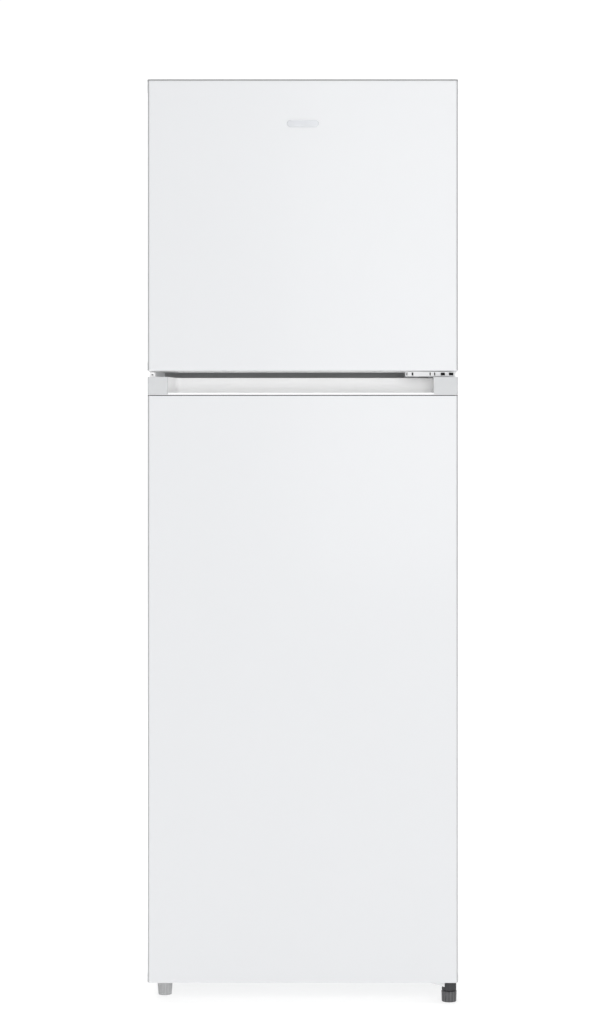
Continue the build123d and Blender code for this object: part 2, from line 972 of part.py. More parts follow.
def make_fan_motor():
    """Fan motor on the liner's back wall, with its shaft to the front."""
    with BuildPart() as motor:
        lengthwise(28, 0, (interior_back - 26, interior_back), fan_z)
        fillet(motor.edges().filter_by(at("Y", interior_back - 26)), 4)
        lengthwise(8, 0, (interior_back - 30, interior_back - 26), fan_z)
        lengthwise(shaft_radius, 0, (shaft_front, interior_back - 30), fan_z)
    return motor


def make_fan_blade():
    """Five-bladed fan, bored for the motor's shaft."""
    back = interior_back - 31
    front = cover_front + 14
    with BuildPart() as fan:
        lengthwise(14, 0, (front, back), fan_z)
        fillet(fan.edges().filter_by(at("Y", front)), 4)
        middle = (front + back) / 2
        with Locations(Location((0, middle, fan_z), (90, 0, 0))):
            with PolarLocations(29, 5):
                Box(34, 30, 2, rotation=(32, 0, 0))
        lengthwise(fan_radius + 4, 0, (front - 20, back + 20), fan_z, Mode.INTERSECT)
        bore = (shaft_front - 1, back + 1)
        lengthwise(shaft_radius + running, 0, bore, fan_z, Mode.SUBTRACT)
    return fan


def make_freezer_shelf():
    """Clear moulded freezer shelf on the liner's ledges, ribbed below and rimmed at the ends."""
    x = (-freezer_in + 2, freezer_in - 2)
    top = freezer_shelf + glass
    with BuildPart() as shelf:
        slab(x, (freezer_shelf_front, cover_front - slip), (freezer_shelf, top))
        slab(
            x,
            (freezer_shelf_front, freezer_shelf_front + 14),
            (freezer_shelf - 7, top),
        )
        fillet(shelf.edges().filter_by(Axis.X).filter_by(at("Y", freezer_shelf_front)), 3)
        slab(x, (cover_front - 6, cover_front - slip), (freezer_shelf, top + 9))
        for rib in range(-2, 3):
            slab(
                (rib * 68 - 1.5, rib * 68 + 1.5),
                (freezer_shelf_front + 14, cover_front - 8),
                (freezer_shelf - 5, freezer_shelf),
            )
    return shelf


def make_shelf_glasses():
    """Toughened glass panels of the fridge's shelves and of the crisper's cover."""
    with BuildPart() as panes:
        for level in (crisper_top, *fridge_shelves):
            slab(
                (-fridge_in + 2, fridge_in - 2),
                (shelf_front + 3, shelf_back - 3),
                (level, level + glass),
            )
    return panes


def make_shelf_trims():
    """White front and rear edge mouldings of those panels, grooved for the glass."""
    x = (-fridge_in + 2, fridge_in - 2)
    with BuildPart() as trims:
        for level in (crisper_top, *fridge_shelves):
            band = (level - 5, level + glass + 3)
            slab(x, (shelf_front, shelf_front + 18), band)
            slab(x, (shelf_back - 14, shelf_back), band)
            slab(x, (shelf_back - 3, shelf_back), (level, level + 16))
        fillet(trims.edges().filter_by(Axis.X).filter_by(at("Y", shelf_front)), 3)
        for level in (crisper_top, *fridge_shelves):
            slab(
                (x[0] - 1, x[1] + 1),
                (shelf_front + 3, shelf_back - 3),
                (level, level + glass),
                Mode.SUBTRACT,
            )
    return trims


# Twist ice maker on the freezer's shelf
ice_x = (-freezer_in + 8, -freezer_in + 188)
ice_y = (freezer_shelf_front + 22, freezer_shelf_front + 242)
ice_base = freezer_shelf + glass
ice_frame_height = 128.0
ice_bin_height = 66.0
tray_half = 30.0
tray_drop = 27.0
tray_length = 196.0
tray_z = ice_base + ice_frame_height - 34
ice_mid = (ice_x[0] + ice_x[1]) / 2
tray_x = (ice_mid - 43, ice_mid + 43)
tray_cells = 6
twist_radius = 5.0


def make_ice_frame():
    """Frame that stands round the ice bin and carries the two twist trays."""
    wall = moulding
    top = ice_base + ice_frame_height
    bin_top = ice_base + ice_bin_height
    with BuildPart() as frame:
        slab(ice_x, ice_y, (ice_base, top))
        fillet(frame.edges().filter_by(Axis.Z), 6)
        slab(
            (ice_x[0] + wall, ice_x[1] - wall),
            (ice_y[0] + wall, ice_y[1] - wall),
            (ice_base - 1, top + 1),
            Mode.SUBTRACT,
        )
        slab(
            (ice_x[0] + wall, ice_x[1] - wall),
            (ice_y[0] - 1, ice_y[0] + wall + 1),
            (ice_base - 1, bin_top),
            Mode.SUBTRACT,
        )
        for x in tray_x:
            for y in (ice_y[0], ice_y[1] - wall):
                lengthwise(
                    twist_radius + running,
                    x,
                    (y - 1, y + wall + 1),
                    tray_z,
                    Mode.SUBTRACT,
                )
    return frame


def make_ice_tray(x):
    """Six-pocket ice tray on end journals, with a knob in front of the frame."""
    wall = moulding
    front = ice_y[0] + wall + 9
    back = front + tray_length
    pocket = (tray_length - 2) / tray_cells - 2
    with BuildPart() as tray:
        with BuildSketch(facing(front)):
            with Locations((x, tray_z - tray_drop / 2)):
                Trapezoid(2 * tray_half, tray_drop, 80, rotation=180)
        extrude(amount=-tray_length)
        for cell in range(tray_cells):
            y = front + 2 + cell * (pocket + 2)
            slab(
                (x - tray_half + 7, x + tray_half - 7),
                (y, y + pocket),
                (tray_z - tray_drop + 2, tray_z + 1),
                Mode.SUBTRACT,
            )
        lengthwise(twist_radius, x, (ice_y[0] - 6, front), tray_z)
        lengthwise(twist_radius, x, (back, ice_y[1] + 0.5), tray_z)
        slab((x - 7, x + 7), (front - 3, front + 2), (tray_z - 12, tray_z))
        slab((x - 7, x + 7), (back - 2, back + 3), (tray_z - 12, tray_z))
        lengthwise(15, x, (ice_y[0] - 12, ice_y[0] - slip), tray_z)
        slab((x - 3, x + 3), (ice_y[0] - 22, ice_y[0] - 11), (tray_z - 15, tray_z + 15))
    return tray


def make_ice_bin():
    """Clear bin that slides out from under the trays."""
    x = (ice_x[0] + moulding + slip, ice_x[1] - moulding - slip)
    y = (ice_y[0] - 4, ice_y[1] - moulding - 2)
    z = (ice_base + slip, ice_base + ice_bin_height - slip)
    return open_tray(x, y, z, 8, moulding)


def open_tray(x, y, z, corner, wall):
    """Tray open at the top, with rounded corners."""
    with BuildPart() as tray:
        slab(x, y, z)
        fillet(tray.edges().filter_by(Axis.Z), corner)
        fillet(tray.edges().filter_by(at("Z", z[0])), corner / 2)
        with BuildSketch(Plane.XY.offset(z[0] + wall)):
            with Locations(((x[0] + x[1]) / 2, (y[0] + y[1]) / 2)):
                RectangleRounded(
                    x[1] - x[0] - 2 * wall, y[1] - y[0] - 2 * wall, corner - wall
                )
        extrude(amount=z[1] - z[0], mode=Mode.SUBTRACT)
    return tray


# ---- Fridge fittings ------------------------------------------------------------------------------


def make_crisper_drawer():
    """Clear vegetable drawer with a pull lip along its front."""
    x = (-fridge_in + 6, fridge_in - 6)
    y = (drawer_front, drawer_front + drawer_depth)
    z = (fridge_bottom + slip, fridge_bottom + slip + drawer_height)
    corner = 15.0
    with BuildPart() as drawer:
        slab(x, y, z)
        fillet(drawer.edges().filter_by(Axis.Z), corner)
        fillet(drawer.edges().filter_by(at("Z", z[0])), corner - 1)
        with BuildSketch(Plane.XY.offset(z[0] + moulding)):
            with Locations(((x[0] + x[1]) / 2, (y[0] + y[1]) / 2)):
                RectangleRounded(
                    x[1] - x[0] - 2 * moulding - 8,
                    y[1] - y[0] - 2 * moulding - 8,
                    corner,
                )
        extrude(amount=drawer_height, mode=Mode.SUBTRACT)
        slab((x[0] + 60, x[1] - 60), (y[0] - 9, y[0]), (z[1] - 4, z[1]))
        slab((x[0] + 60, x[1] - 60), (y[0] - 9, y[0] - 6), (z[1] - 16, z[1]))
    return drawer


def make_humidity_slider():
    """Crisper vent slide, a ridged button on the front of the crisper cover's trim."""
    front = shelf_front - slip
    z = crisper_top + 1
    with BuildPart() as slider:
        slab((-30, -8), (front - 4, front), (z - 5, z + 5))
        fillet(slider.edges().filter_by(at("Y", front - 4)), 1.2)
    return slider


def make_air_duct():
    """Moulded air channel on the fridge's back wall, with outlets beside each shelf."""
    y = (interior_back - duct_depth, interior_back)
    z = (step_top + 40, fridge_top - cavity_bend - 20)
    with BuildPart() as duct:
        slab((-62, 62), y, z)
        fillet(duct.edges().filter_by(Axis.Y), 10)
        fillet(duct.edges().filter_by(at("Y", y[0])), 4)
        slab((-56, 56), (y[0] + 2, y[1] + 1), (z[0] + 6, z[1] - 6), Mode.SUBTRACT)
        for level in fridge_shelves:
            for row in (30, 44):
                for side in (-1, 1):
                    x = sorted((side * 14, side * 48))
                    slab(
                        x,
                        (y[0] - 1, y[0] + 3),
                        (level + row, level + row + 6),
                        Mode.SUBTRACT,
                    )
    return duct


box_x = 105.0
box_y = (-75.0, 75.0)
box_z = (fridge_top - 38, fridge_top)
knob_x = 45.0
knob_z = fridge_top - 19
lens_x = (-85.0, 5.0)
lens_y = (-45.0, 45.0)


def make_control_box():
    """Housing under the fridge's roof for the thermostat and the lamp."""
    with BuildPart() as box:
        slab((-box_x, box_x), box_y, box_z)
        fillet(box.edges().filter_by(Axis.Z), 12)
        fillet(box.edges().filter_by(at("Z", box_z[0])), 6)
        slab(
            (-box_x + 3, box_x - 3),
            (box_y[0] + 3, box_y[1] - 3),
            (box_z[0] + 3, box_z[1] + 1),
            Mode.SUBTRACT,
        )
        slab(lens_x, lens_y, (box_z[0] - 1, box_z[0] + 4), Mode.SUBTRACT)
        lengthwise(
            4 + running, knob_x, (box_y[0] - 1, box_y[0] + 4), knob_z, Mode.SUBTRACT
        )
    return box


def make_lamp_lens():
    """Ribbed clear lens of the lamp, clipped in the housing's underside."""
    with BuildPart() as lens:
        slab(
            (lens_x[0] + fit, lens_x[1] - fit),
            (lens_y[0] + fit, lens_y[1] - fit),
            (box_z[0], box_z[0] + 2),
        )
        for rib in range(8):
            x = lens_x[0] + 8 + rib * 10.5
            slab(
                (x, x + 3), (lens_y[0] + 4, lens_y[1] - 4), (box_z[0] - 1.2, box_z[0])
            )
    return lens


def make_temperature_knob():
    """Thermostat knob on the front of the housing, with its spindle and a pointer rib."""
    front = box_y[0] - slip
    with BuildPart() as knob:
        lengthwise(16, knob_x, (front - 6, front), knob_z)
        lengthwise(4, knob_x, (front, box_y[0] + 8), knob_z)
        slab(
            (knob_x - 3, knob_x + 3), (front - 15, front - 5), (knob_z - 15, knob_z + 15)
        )
        fillet(knob.edges().filter_by(at("Y", front - 15)), 1.2)
    return knob


def make_switch_plunger():
    """Plunger of the lamp switch, held in by the closed door."""
    with BuildPart() as plunger:
        lengthwise(
            plunger_radius, switch_x, (plunger_tip, switch_y[1] - 8), switch_z
        )
        fillet(plunger.edges().filter_by(at("Y", plunger_tip)), 1.5)
    return plunger


# ---- Doors -------------------------------------------------------------------------------------


def make_door_skin(door):
    """Painted sheet over the front and both sides, cut back at the ends for the caps."""
    z = (door.bottom, door.skin_top)
    roof = door.skin_top - sheet if door.folded_top else door.skin_top + 1
    with BuildPart() as skin:
        slab((-half, half), (door_front, rim_front), z)
        fillet(skin.edges().filter_by(Axis.Z).group_by(Axis.Y)[0], door_corner)
        fillet(skin.edges().filter_by(at("Z", z[0])).filter_by(Axis.X).group_by(Axis.Y)[0], 2)
        if door.folded_top:
            top_edges = skin.edges().filter_by(at("Z", z[1])).filter_by(Axis.X)
            fillet(top_edges.group_by(Axis.Y)[0], 2)
        tall = roof - z[0] - sheet
        with BuildSketch(Plane.XY.offset(z[0] + sheet)) as inside:
            with Locations((0, (door_front + sheet + rim_front + 1) / 2)):
                Rectangle(width - 2 * sheet, rim_front + 1 - door_front - sheet)
            fillet(inside.vertices().group_by(Axis.Y)[0], door_corner - sheet)
        extrude(amount=tall, mode=Mode.SUBTRACT)
        slab(
            (-half - 1, half + 1),
            (skin_return, door_back),
            (z[0] - 1, door.bottom + bottom_cap_height),
            Mode.SUBTRACT,
        )
        if door.folded_top:
            slab(
                (-half - 1, half + 1),
                (skin_return, door_back),
                (door.sides_top, z[1] + 1),
                Mode.SUBTRACT,
            )
    return skin


def behind_skin(x, z):
    """Block that fits behind a door's front sheet, its front corners rounded to suit."""
    with BuildSketch(Plane.XY.offset(z[0])) as plan:
        with Locations(((x[0] + x[1]) / 2, (cap_face + rim_front - fit) / 2)):
            Rectangle(x[1] - x[0], rim_front - fit - cap_face)
        fillet(plan.vertices().group_by(Axis.Y)[0], door_corner - sheet)
    extrude(plan.sketch, amount=z[1] - z[0])


inside_skin = (-half + sheet + fit, half - sheet - fit)
outside_skirt = (-half - cap_proud, half + cap_proud)
skirt_y = (skin_return + fit, rim_front - fit)


def make_door_foam(door):
    """Rigid foam behind a door's sheet and inside its raised frame."""
    inner = door.pocket_half + liner + fit
    outer = door.ring_half - liner - fit
    ring_z = (door.ring_bottom + liner + fit, door.ring_top - liner - fit)
    pocket_z = (
        door.ring_bottom + ring_width - liner - fit,
        door.ring_top - ring_width + liner + fit,
    )
    back = door_back + ring_depth - liner - fit
    with BuildPart() as foam:
        behind_skin(inside_skin, (door.bottom + bottom_cap_height, door.foam_top))
        slab((-outer, outer), (rim_front - fit, back), ring_z)
        corners = foam.edges().filter_by(Axis.Y).filter_by(behind(door_back))
        fillet(corners, 14 - liner)
        slab((-inner, inner), (rim_front - fit, back + 1), pocket_z, Mode.SUBTRACT)
    return foam


def make_door_liner(door):
    """White moulded inside of a door: a flat rim, a raised frame and lugs under the bins."""
    ring_x = (-door.ring_half, door.ring_half)
    ring_z = (door.ring_bottom, door.ring_top)
    pocket = door.pocket_half
    pocket_z = (door.ring_bottom + ring_width, door.ring_top - ring_width)
    back = door_back + ring_depth
    hollow_in, hollow_out = pocket + liner, door.ring_half - liner
    with BuildPart() as moulded:
        slab(ring_x, (rim_front, back), ring_z)
        fillet(moulded.edges().filter_by(Axis.Y), 14)
        fillet(moulded.edges().filter_by(at("Y", back)), 7)
        slab((-pocket, pocket), (door_back, back + 1), pocket_z, Mode.SUBTRACT)
        slab(
            (-half + fit, half - fit),
            (rim_front, door_back),
            (door.bottom + 1, door.rim_top - 1),
        )
        with BuildSketch(facing(back - liner)):
            with Locations((0, (ring_z[0] + ring_z[1]) / 2)):
                RectangleRounded(
                    2 * hollow_out, ring_z[1] - ring_z[0] - 2 * liner, 14 - liner
                )
                Rectangle(
                    2 * hollow_in,
                    pocket_z[1] - pocket_z[0] + 2 * liner,
                    mode=Mode.SUBTRACT,
                )
        extrude(amount=back - liner - rim_front + 1, mode=Mode.SUBTRACT)
        for level, _ in door.shelves:
            for side in (-1, 1):
                x = sorted((side * pocket, side * (pocket - 7)))
                slab(x, (door_back, door_back + 30), (level - 9, level))
    return moulded


def make_gasket(door):
    """Magnetic rubber seal round the back of a door, just clear of the cabinet's face."""
    x = half - gasket_inset
    z = (door.bottom + gasket_inset, door.rim_top - gasket_inset + 2)
    with BuildPart() as seal:
        slab((-x, x), (door_back, cabinet_front - slip), z)
        fillet(seal.edges().filter_by(Axis.Y), 6)
        slab(
            (-x + gasket_width, x - gasket_width),
            (door_back - 1, cabinet_front),
            (z[0] + gasket_width, z[1] - gasket_width),
            Mode.SUBTRACT,
        )
    return seal


def make_door_bins(door):
    """Clear bins between the sides of a door's raised frame, standing on its lugs."""
    x = (-door.pocket_half + 0.4, door.pocket_half - 0.4)
    y = (door_back + slip, door_back + slip + door.bin_depth)
    with BuildPart() as bins:
        for level, tall in door.shelves:
            add(open_tray(x, y, (level, level + tall), 8, moulding).part)
    return bins


def pin_hole(z):
    """Blind bore for a hinge pin."""
    upright(pin_radius + running, hinge_x, hinge_y, z, Mode.SUBTRACT)


def make_freezer_top_cap():
    """Top cap of the freezer door: a lip behind the sheet and a recess for the hinge's arm."""
    floor = height - top_cap_floor
    skirt = height - top_cap_skirt
    plug = height - top_cap_plug
    lip_top = height - sheet - fit
    with BuildPart() as cap:
        behind_skin(inside_skin, (plug, floor))
        slab(outside_skirt, skirt_y, (skirt, floor))
        fillet(cap.edges().filter_by(at("X", outside_skirt[0])).filter_by(Axis.Y), 1)
        slab(
            (inside_skin[0] + 4, inside_skin[1] - 4),
            (cap_face, cap_face + 2),
            (floor, lip_top),
        )
        slab(
            (outside_skirt[0], outside_skirt[0] + 4), skirt_y, (floor, height)
        )
        slab(
            (outside_skirt[0] + 4, hinge_x - 40),
            (skirt_y[1] - 2, skirt_y[1]),
            (floor, floor + 3),
        )
        pin_hole((floor - pin_reach - 1, floor + 1))
    return cap


def make_bottom_cap(door, grip):
    """Bottom cap of a door, with skirts at the sides and, if asked, a grip hollow."""
    z = (door.bottom, door.bottom + bottom_cap_height)
    with BuildPart() as cap:
        behind_skin(inside_skin, (z[0] + sheet + fit, z[1]))
        slab(outside_skirt, skirt_y, z)
        fillet(cap.edges().filter_by(Axis.Y).filter_by(at("Z", z[0])), 2)
        if grip:
            slab(
                (-half + handle_left + 15, half - handle_right),
                (door_front + 14, door_front + 40),
                (z[0] - 1, z[1] - 3),
                Mode.SUBTRACT,
            )
        pin_hole((z[0] - 1, z[0] + pin_reach))
    return cap


def pocket_cut(mouth, z):
    """Cut the handle's pocket from depth mouth to its back, with a sweeping left end."""
    left, right = -half + handle_left, half - handle_right
    ramp, back = left + handle_ramp, door_front + handle_depth
    with BuildSketch(Plane.XY.offset(z[0])) as plan:
        with BuildLine():
            Polyline(
                (left, mouth),
                (left, door_front + end_piece),
                (ramp, back),
                (right, back),
                (right, mouth),
                close=True,
            )
        make_face()
        fillet(plan.vertices().sort_by_distance((ramp, back))[0], handle_ramp - 2)
    extrude(plan.sketch, amount=z[1] - z[0], mode=Mode.SUBTRACT)


def make_handle_moulding():
    """Top moulding of the fridge door, with the pocket handle and its pull lip."""
    top = fridge_door_top
    lip_top = handle_seam + handle_lip
    with BuildPart() as cap:
        behind_skin(inside_skin, (top - handle_plug, handle_seam))
        slab((-half, half), (door_front, rim_front), (handle_seam, top))
        front = cap.edges().filter_by(Axis.Z).filter_by(at("Y", door_front))
        fillet(front, door_corner)
        pocket_cut(door_front + lip_thickness, (top - handle_floor, lip_top))
        pocket_cut(door_front - 1, (lip_top, top + 1))
        for x in ((-half - 1, -half + handle_left), (half - handle_right, half + 1)):
            seat = (door_front - 1, door_front + end_piece)
            slab(x, seat, (handle_seam + 1, top + 1), Mode.SUBTRACT)
        slab(pad_x, (door_front + 8, door_front + 24), (top, top + pad_height))
        pad_middle = (pad_x[0] + pad_x[1]) / 2
        lengthwise(1.6, pad_middle, (door_front, door_front + 30), top + 4, Mode.SUBTRACT)
        pin_hole((top - pin_reach, top + 1))
    return cap


def make_handle_ends():
    """Grey covers on both ends of the handle band; the left one curves into the pocket."""
    z = (handle_seam + 1 + fit, fridge_door_top - fit)
    y = (door_front, door_front + end_piece - fit)
    left_edge = -half + handle_left
    with BuildPart() as ends:
        slab((-half, left_edge), y, z)
        slab((half - handle_right, half), y, z)
        front = ends.edges().filter_by(Axis.Z).filter_by(at("Y", door_front))
        for x in (-half, left_edge, half):
            fillet(front.filter_by(at("X", x)), end_piece - fit - 0.4)
    return ends


def make_badge():
    """Blank pill-shaped plate near the top of the freezer door."""
    with BuildPart() as plate:
        with BuildSketch(facing(door_front)):
            with Locations((0, height - 78)):
                SlotOverall(56, 12)
        extrude(amount=0.8)
        fillet(plate.edges().filter_by(at("Y", door_front - 0.8)), 0.3)
    return plate


# ---- Build and write -----------------------------------------------------------------------------


def cabinet_pieces():
    """Each of the cabinet's nodes with the function that makes it."""
    return {
        "cabinet_shell": make_cabinet_shell,
        "cabinet_foam": make_cabinet_foam,
        "freezer_liner": make_freezer_liner,
        "fridge_liner": make_fridge_liner,
        "centre_rail": make_centre_rail,
        "back_panel": make_back_panel,
        "base_pan": make_base_pan,
        "rear_spacers": make_rear_spacers,
        "top_hinge": make_top_hinge,
        "top_hinge_cover": make_top_hinge_cover,
        "middle_hinge": make_middle_hinge,
        "bottom_hinge": make_bottom_hinge,
        "left_bracket": make_left_bracket,
        "hinge_screws": make_hinge_screws,
        "foot_left": make_left_foot,
        "foot_right": make_right_foot,
        "roller_left": lambda: make_roller(-1),
        "roller_right": lambda: make_roller(1),
        "machine_floor": make_machine_floor,
        "compressor": make_compressor,
        "compressor_mounts": make_compressor_mounts,
        "drain_pan": make_drain_pan,
        "refrigerant_pipes": make_refrigerant_pipes,
        "machine_cover": make_machine_cover,
        "cable_gland": make_cable_gland,
        "evaporator_cover": make_evaporator_cover,
        "temperature_slider": make_temperature_slider,
        "evaporator": make_evaporator,
        "fan_motor": make_fan_motor,
        "fan_blade": make_fan_blade,
        "freezer_shelf": make_freezer_shelf,
        "ice_frame": make_ice_frame,
        "ice_tray_left": lambda: make_ice_tray(tray_x[0]),
        "ice_tray_right": lambda: make_ice_tray(tray_x[1]),
        "ice_bin": make_ice_bin,
        "shelf_glasses": make_shelf_glasses,
        "shelf_trims": make_shelf_trims,
        "crisper_drawer": make_crisper_drawer,
        "humidity_slider": make_humidity_slider,
        "air_duct": make_air_duct,
        "control_box": make_control_box,
        "lamp_lens": make_lamp_lens,
        "temperature_knob": make_temperature_knob,
        "switch_plunger": make_switch_plunger,
    }


def door_pieces():
    """Each of the two doors' nodes with the function that makes it."""
    return {
        "freezer_door_skin": lambda: make_door_skin(freezer_door),
        "freezer_door_foam": lambda: make_door_foam(freezer_door),
        "freezer_door_liner": lambda: make_door_liner(freezer_door),
        "freezer_door_top_cap": make_freezer_top_cap,
        "freezer_door_bottom_cap": lambda: make_bottom_cap(freezer_door, grip=True),
        "freezer_door_gasket": lambda: make_gasket(freezer_door),
        "freezer_door_bins": lambda: make_door_bins(freezer_door),
        "badge": make_badge,
        "fridge_door_skin": lambda: make_door_skin(fridge_door),
        "fridge_door_foam": lambda: make_door_foam(fridge_door),
        "fridge_door_liner": lambda: make_door_liner(fridge_door),
        "fridge_door_handle": make_handle_moulding,
        "handle_ends": make_handle_ends,
        "fridge_door_bottom_cap": lambda: make_bottom_cap(fridge_door, grip=False),
        "fridge_door_gasket": lambda: make_gasket(fridge_door),
        "fridge_door_bins": lambda: make_door_bins(fridge_door),
    }


def main():
    """Build every piece and write it."""
    os.makedirs("parts", exist_ok=True)
    for name, make in {**cabinet_pieces(), **door_pieces()}.items():
        piece = make()
        piece.part.label = name
        export_step(piece.part, f"parts/{name}.step")


if __name__ == "__main__":
    main()
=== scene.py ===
"""Looks of a top freezer refrigerator.

Finishes for every part, door seals, the pressed back, edge strips, hinge cover, feet, a studio.
Everything is in metres in the part's own frame: +Z up, the doors face -Y, the hinges are on +X.
"""

import json
import logging
import math
from dataclasses import dataclass
from enum import Enum
from typing import Callable, Iterable, Protocol, Sequence

import bpy
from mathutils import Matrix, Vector

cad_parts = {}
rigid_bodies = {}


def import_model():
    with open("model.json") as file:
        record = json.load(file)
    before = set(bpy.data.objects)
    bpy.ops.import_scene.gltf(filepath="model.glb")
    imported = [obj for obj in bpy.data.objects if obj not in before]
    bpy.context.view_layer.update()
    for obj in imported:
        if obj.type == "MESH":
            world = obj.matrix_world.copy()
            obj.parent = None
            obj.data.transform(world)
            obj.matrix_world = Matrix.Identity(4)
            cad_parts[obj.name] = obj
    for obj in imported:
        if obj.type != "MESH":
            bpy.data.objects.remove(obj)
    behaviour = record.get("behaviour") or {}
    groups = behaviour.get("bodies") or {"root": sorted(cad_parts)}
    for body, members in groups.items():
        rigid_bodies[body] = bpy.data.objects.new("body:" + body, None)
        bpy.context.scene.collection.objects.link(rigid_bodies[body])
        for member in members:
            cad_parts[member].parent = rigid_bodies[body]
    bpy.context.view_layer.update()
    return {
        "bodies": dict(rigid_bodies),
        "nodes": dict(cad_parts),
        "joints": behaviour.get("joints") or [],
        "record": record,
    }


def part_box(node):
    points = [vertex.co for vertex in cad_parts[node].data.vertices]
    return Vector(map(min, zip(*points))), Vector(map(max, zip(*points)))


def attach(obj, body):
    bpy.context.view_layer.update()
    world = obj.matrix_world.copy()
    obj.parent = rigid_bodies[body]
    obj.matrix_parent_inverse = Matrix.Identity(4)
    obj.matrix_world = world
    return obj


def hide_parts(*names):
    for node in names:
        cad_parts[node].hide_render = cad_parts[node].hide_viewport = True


log = logging.getLogger("refrigerator")

MILLIMETRE = 0.001

# How close counts as level with a face, as the same place and as a doubled vertex.
NEAR = 0.1 * MILLIMETRE
SAME_PLACE = 0.01 * MILLIMETRE
DOUBLES = 0.001 * MILLIMETRE

Colour = tuple[float, float, float]
Interval = tuple[float, float]


# ---- Node graphs ---------------------------------------------------------------------------------


class Graph:
    """A new material with one Principled shader, and short calls that add the usual nodes."""

    def __init__(self, name: str, sockets: dict[str, float | tuple]) -> None:
        """Make the material.

        Args:
            name: The material's name.
            sockets: Values for the shader's own sockets.
        """
        self.material = bpy.data.materials.new(name)
        self.material.use_nodes = True
        self.tree = self.material.node_tree
        self.shader = self.tree.nodes["Principled BSDF"]
        for label, value in sockets.items():
            self.shader.inputs[label].default_value = value
        self.place = self.tree.nodes.new("ShaderNodeTexCoord").outputs["Object"]

    def add(self, kind: str, inputs: dict | None = None, **settings: object) -> bpy.types.Node:
        """Add a node.

        Args:
            kind: The node's type, without the ShaderNode in front.
            inputs: Values or output sockets for its inputs.
            settings: The node's own options.

        Returns:
            The node.
        """
        node = self.tree.nodes.new("ShaderNode" + kind)
        for option, value in settings.items():
            setattr(node, option, value)
        for label, value in (inputs or {}).items():
            if isinstance(value, bpy.types.NodeSocket):
                self.tree.links.new(value, node.inputs[label])
            else:
                node.inputs[label].default_value = value
        return node

    def stretched(self, factors: Sequence[float]) -> bpy.types.NodeSocket:
        """Object coordinates, multiplied along each axis."""
        return self.add("Mapping", {"Vector": self.place, "Scale": factors}).outputs[0]

    def noise(
        self, scale: float, detail: float = 3.0, place: bpy.types.NodeSocket | None = None
    ) -> bpy.types.NodeSocket:
        """Noise value of a given number of features to the metre."""
        sockets = {"Vector": place or self.place, "Scale": scale, "Detail": detail}
        return self.add("TexNoise", sockets).outputs["Fac"]

    def cells(self, scale: float) -> bpy.types.NodeSocket:
        """One random shade for each cell of a crystal-like pattern."""
        node = self.add("TexVoronoi", {"Vector": self.place, "Scale": scale})
        grey = self.add("RGBToBW", {"Color": node.outputs["Color"]})
        return grey.outputs[0]

    def spread(
        self, value: bpy.types.NodeSocket, low: float, high: float, source: Interval = (0.3, 0.7)
    ) -> bpy.types.NodeSocket:
        """Map the useful part of a pattern to a range.

        Args:
            value: The pattern.
            low: Result at the pattern's low end.
            high: Result at its high end.
            source: The part of the pattern that is used.

        Returns:
            The mapped value.
        """
        sockets = {
            "Value": value,
            "From Min": source[0],
            "From Max": source[1],
            "To Min": low,
            "To Max": high,
        }
        return self.add("MapRange", sockets).outputs[0]

    def tone(
        self, value: bpy.types.NodeSocket, first: Colour, second: Colour
    ) -> bpy.types.NodeSocket:
        """Blend two colours by a pattern."""
        return self.blend(self.spread(value, 0.0, 1.0), first, second)

    def blend(
        self, share: bpy.types.NodeSocket, first: Colour | bpy.types.NodeSocket, second: Colour
    ) -> bpy.types.NodeSocket:
        """Blend two colours.

        Args:
            share: How much of the second colour there is, from 0 to 1.
            first: The first colour, or the socket that gives it.
            second: The second colour.

        Returns:
            The blended colour.
        """
        node = self.add("Mix", data_type="RGBA")
        colours = [socket for socket in node.inputs if socket.type == "RGBA"]
        if isinstance(first, bpy.types.NodeSocket):
            self.tree.links.new(first, colours[0])
        else:
            colours[0].default_value = (*first, 1.0)
        colours[1].default_value = (*second, 1.0)
        self.tree.links.new(share, node.inputs[0])
        return [socket for socket in node.outputs if socket.type == "RGBA"][0]

    def paint(self, socket: str, value: bpy.types.NodeSocket) -> None:
        """Feed one of the shader's sockets."""
        self.tree.links.new(value, self.shader.inputs[socket])

    def relief(self, layers: Iterable[tuple[bpy.types.NodeSocket, float]]) -> None:
        """Bump the surface with height patterns, each with its depth in metres."""
        normal = None
        for height, depth in layers:
            sockets = {"Height": height, "Distance": depth, "Strength": 1.0}
            if normal is not None:
                sockets["Normal"] = normal
            normal = self.add("Bump", sockets).outputs[0]
        self.paint("Normal", normal)


def shade(colour: Colour, factor: float) -> Colour:
    """A lighter or darker colour."""
    return tuple(min(1.0, channel * factor) for channel in colour)


# ---- Finishes ------------------------------------------------------------------------------------


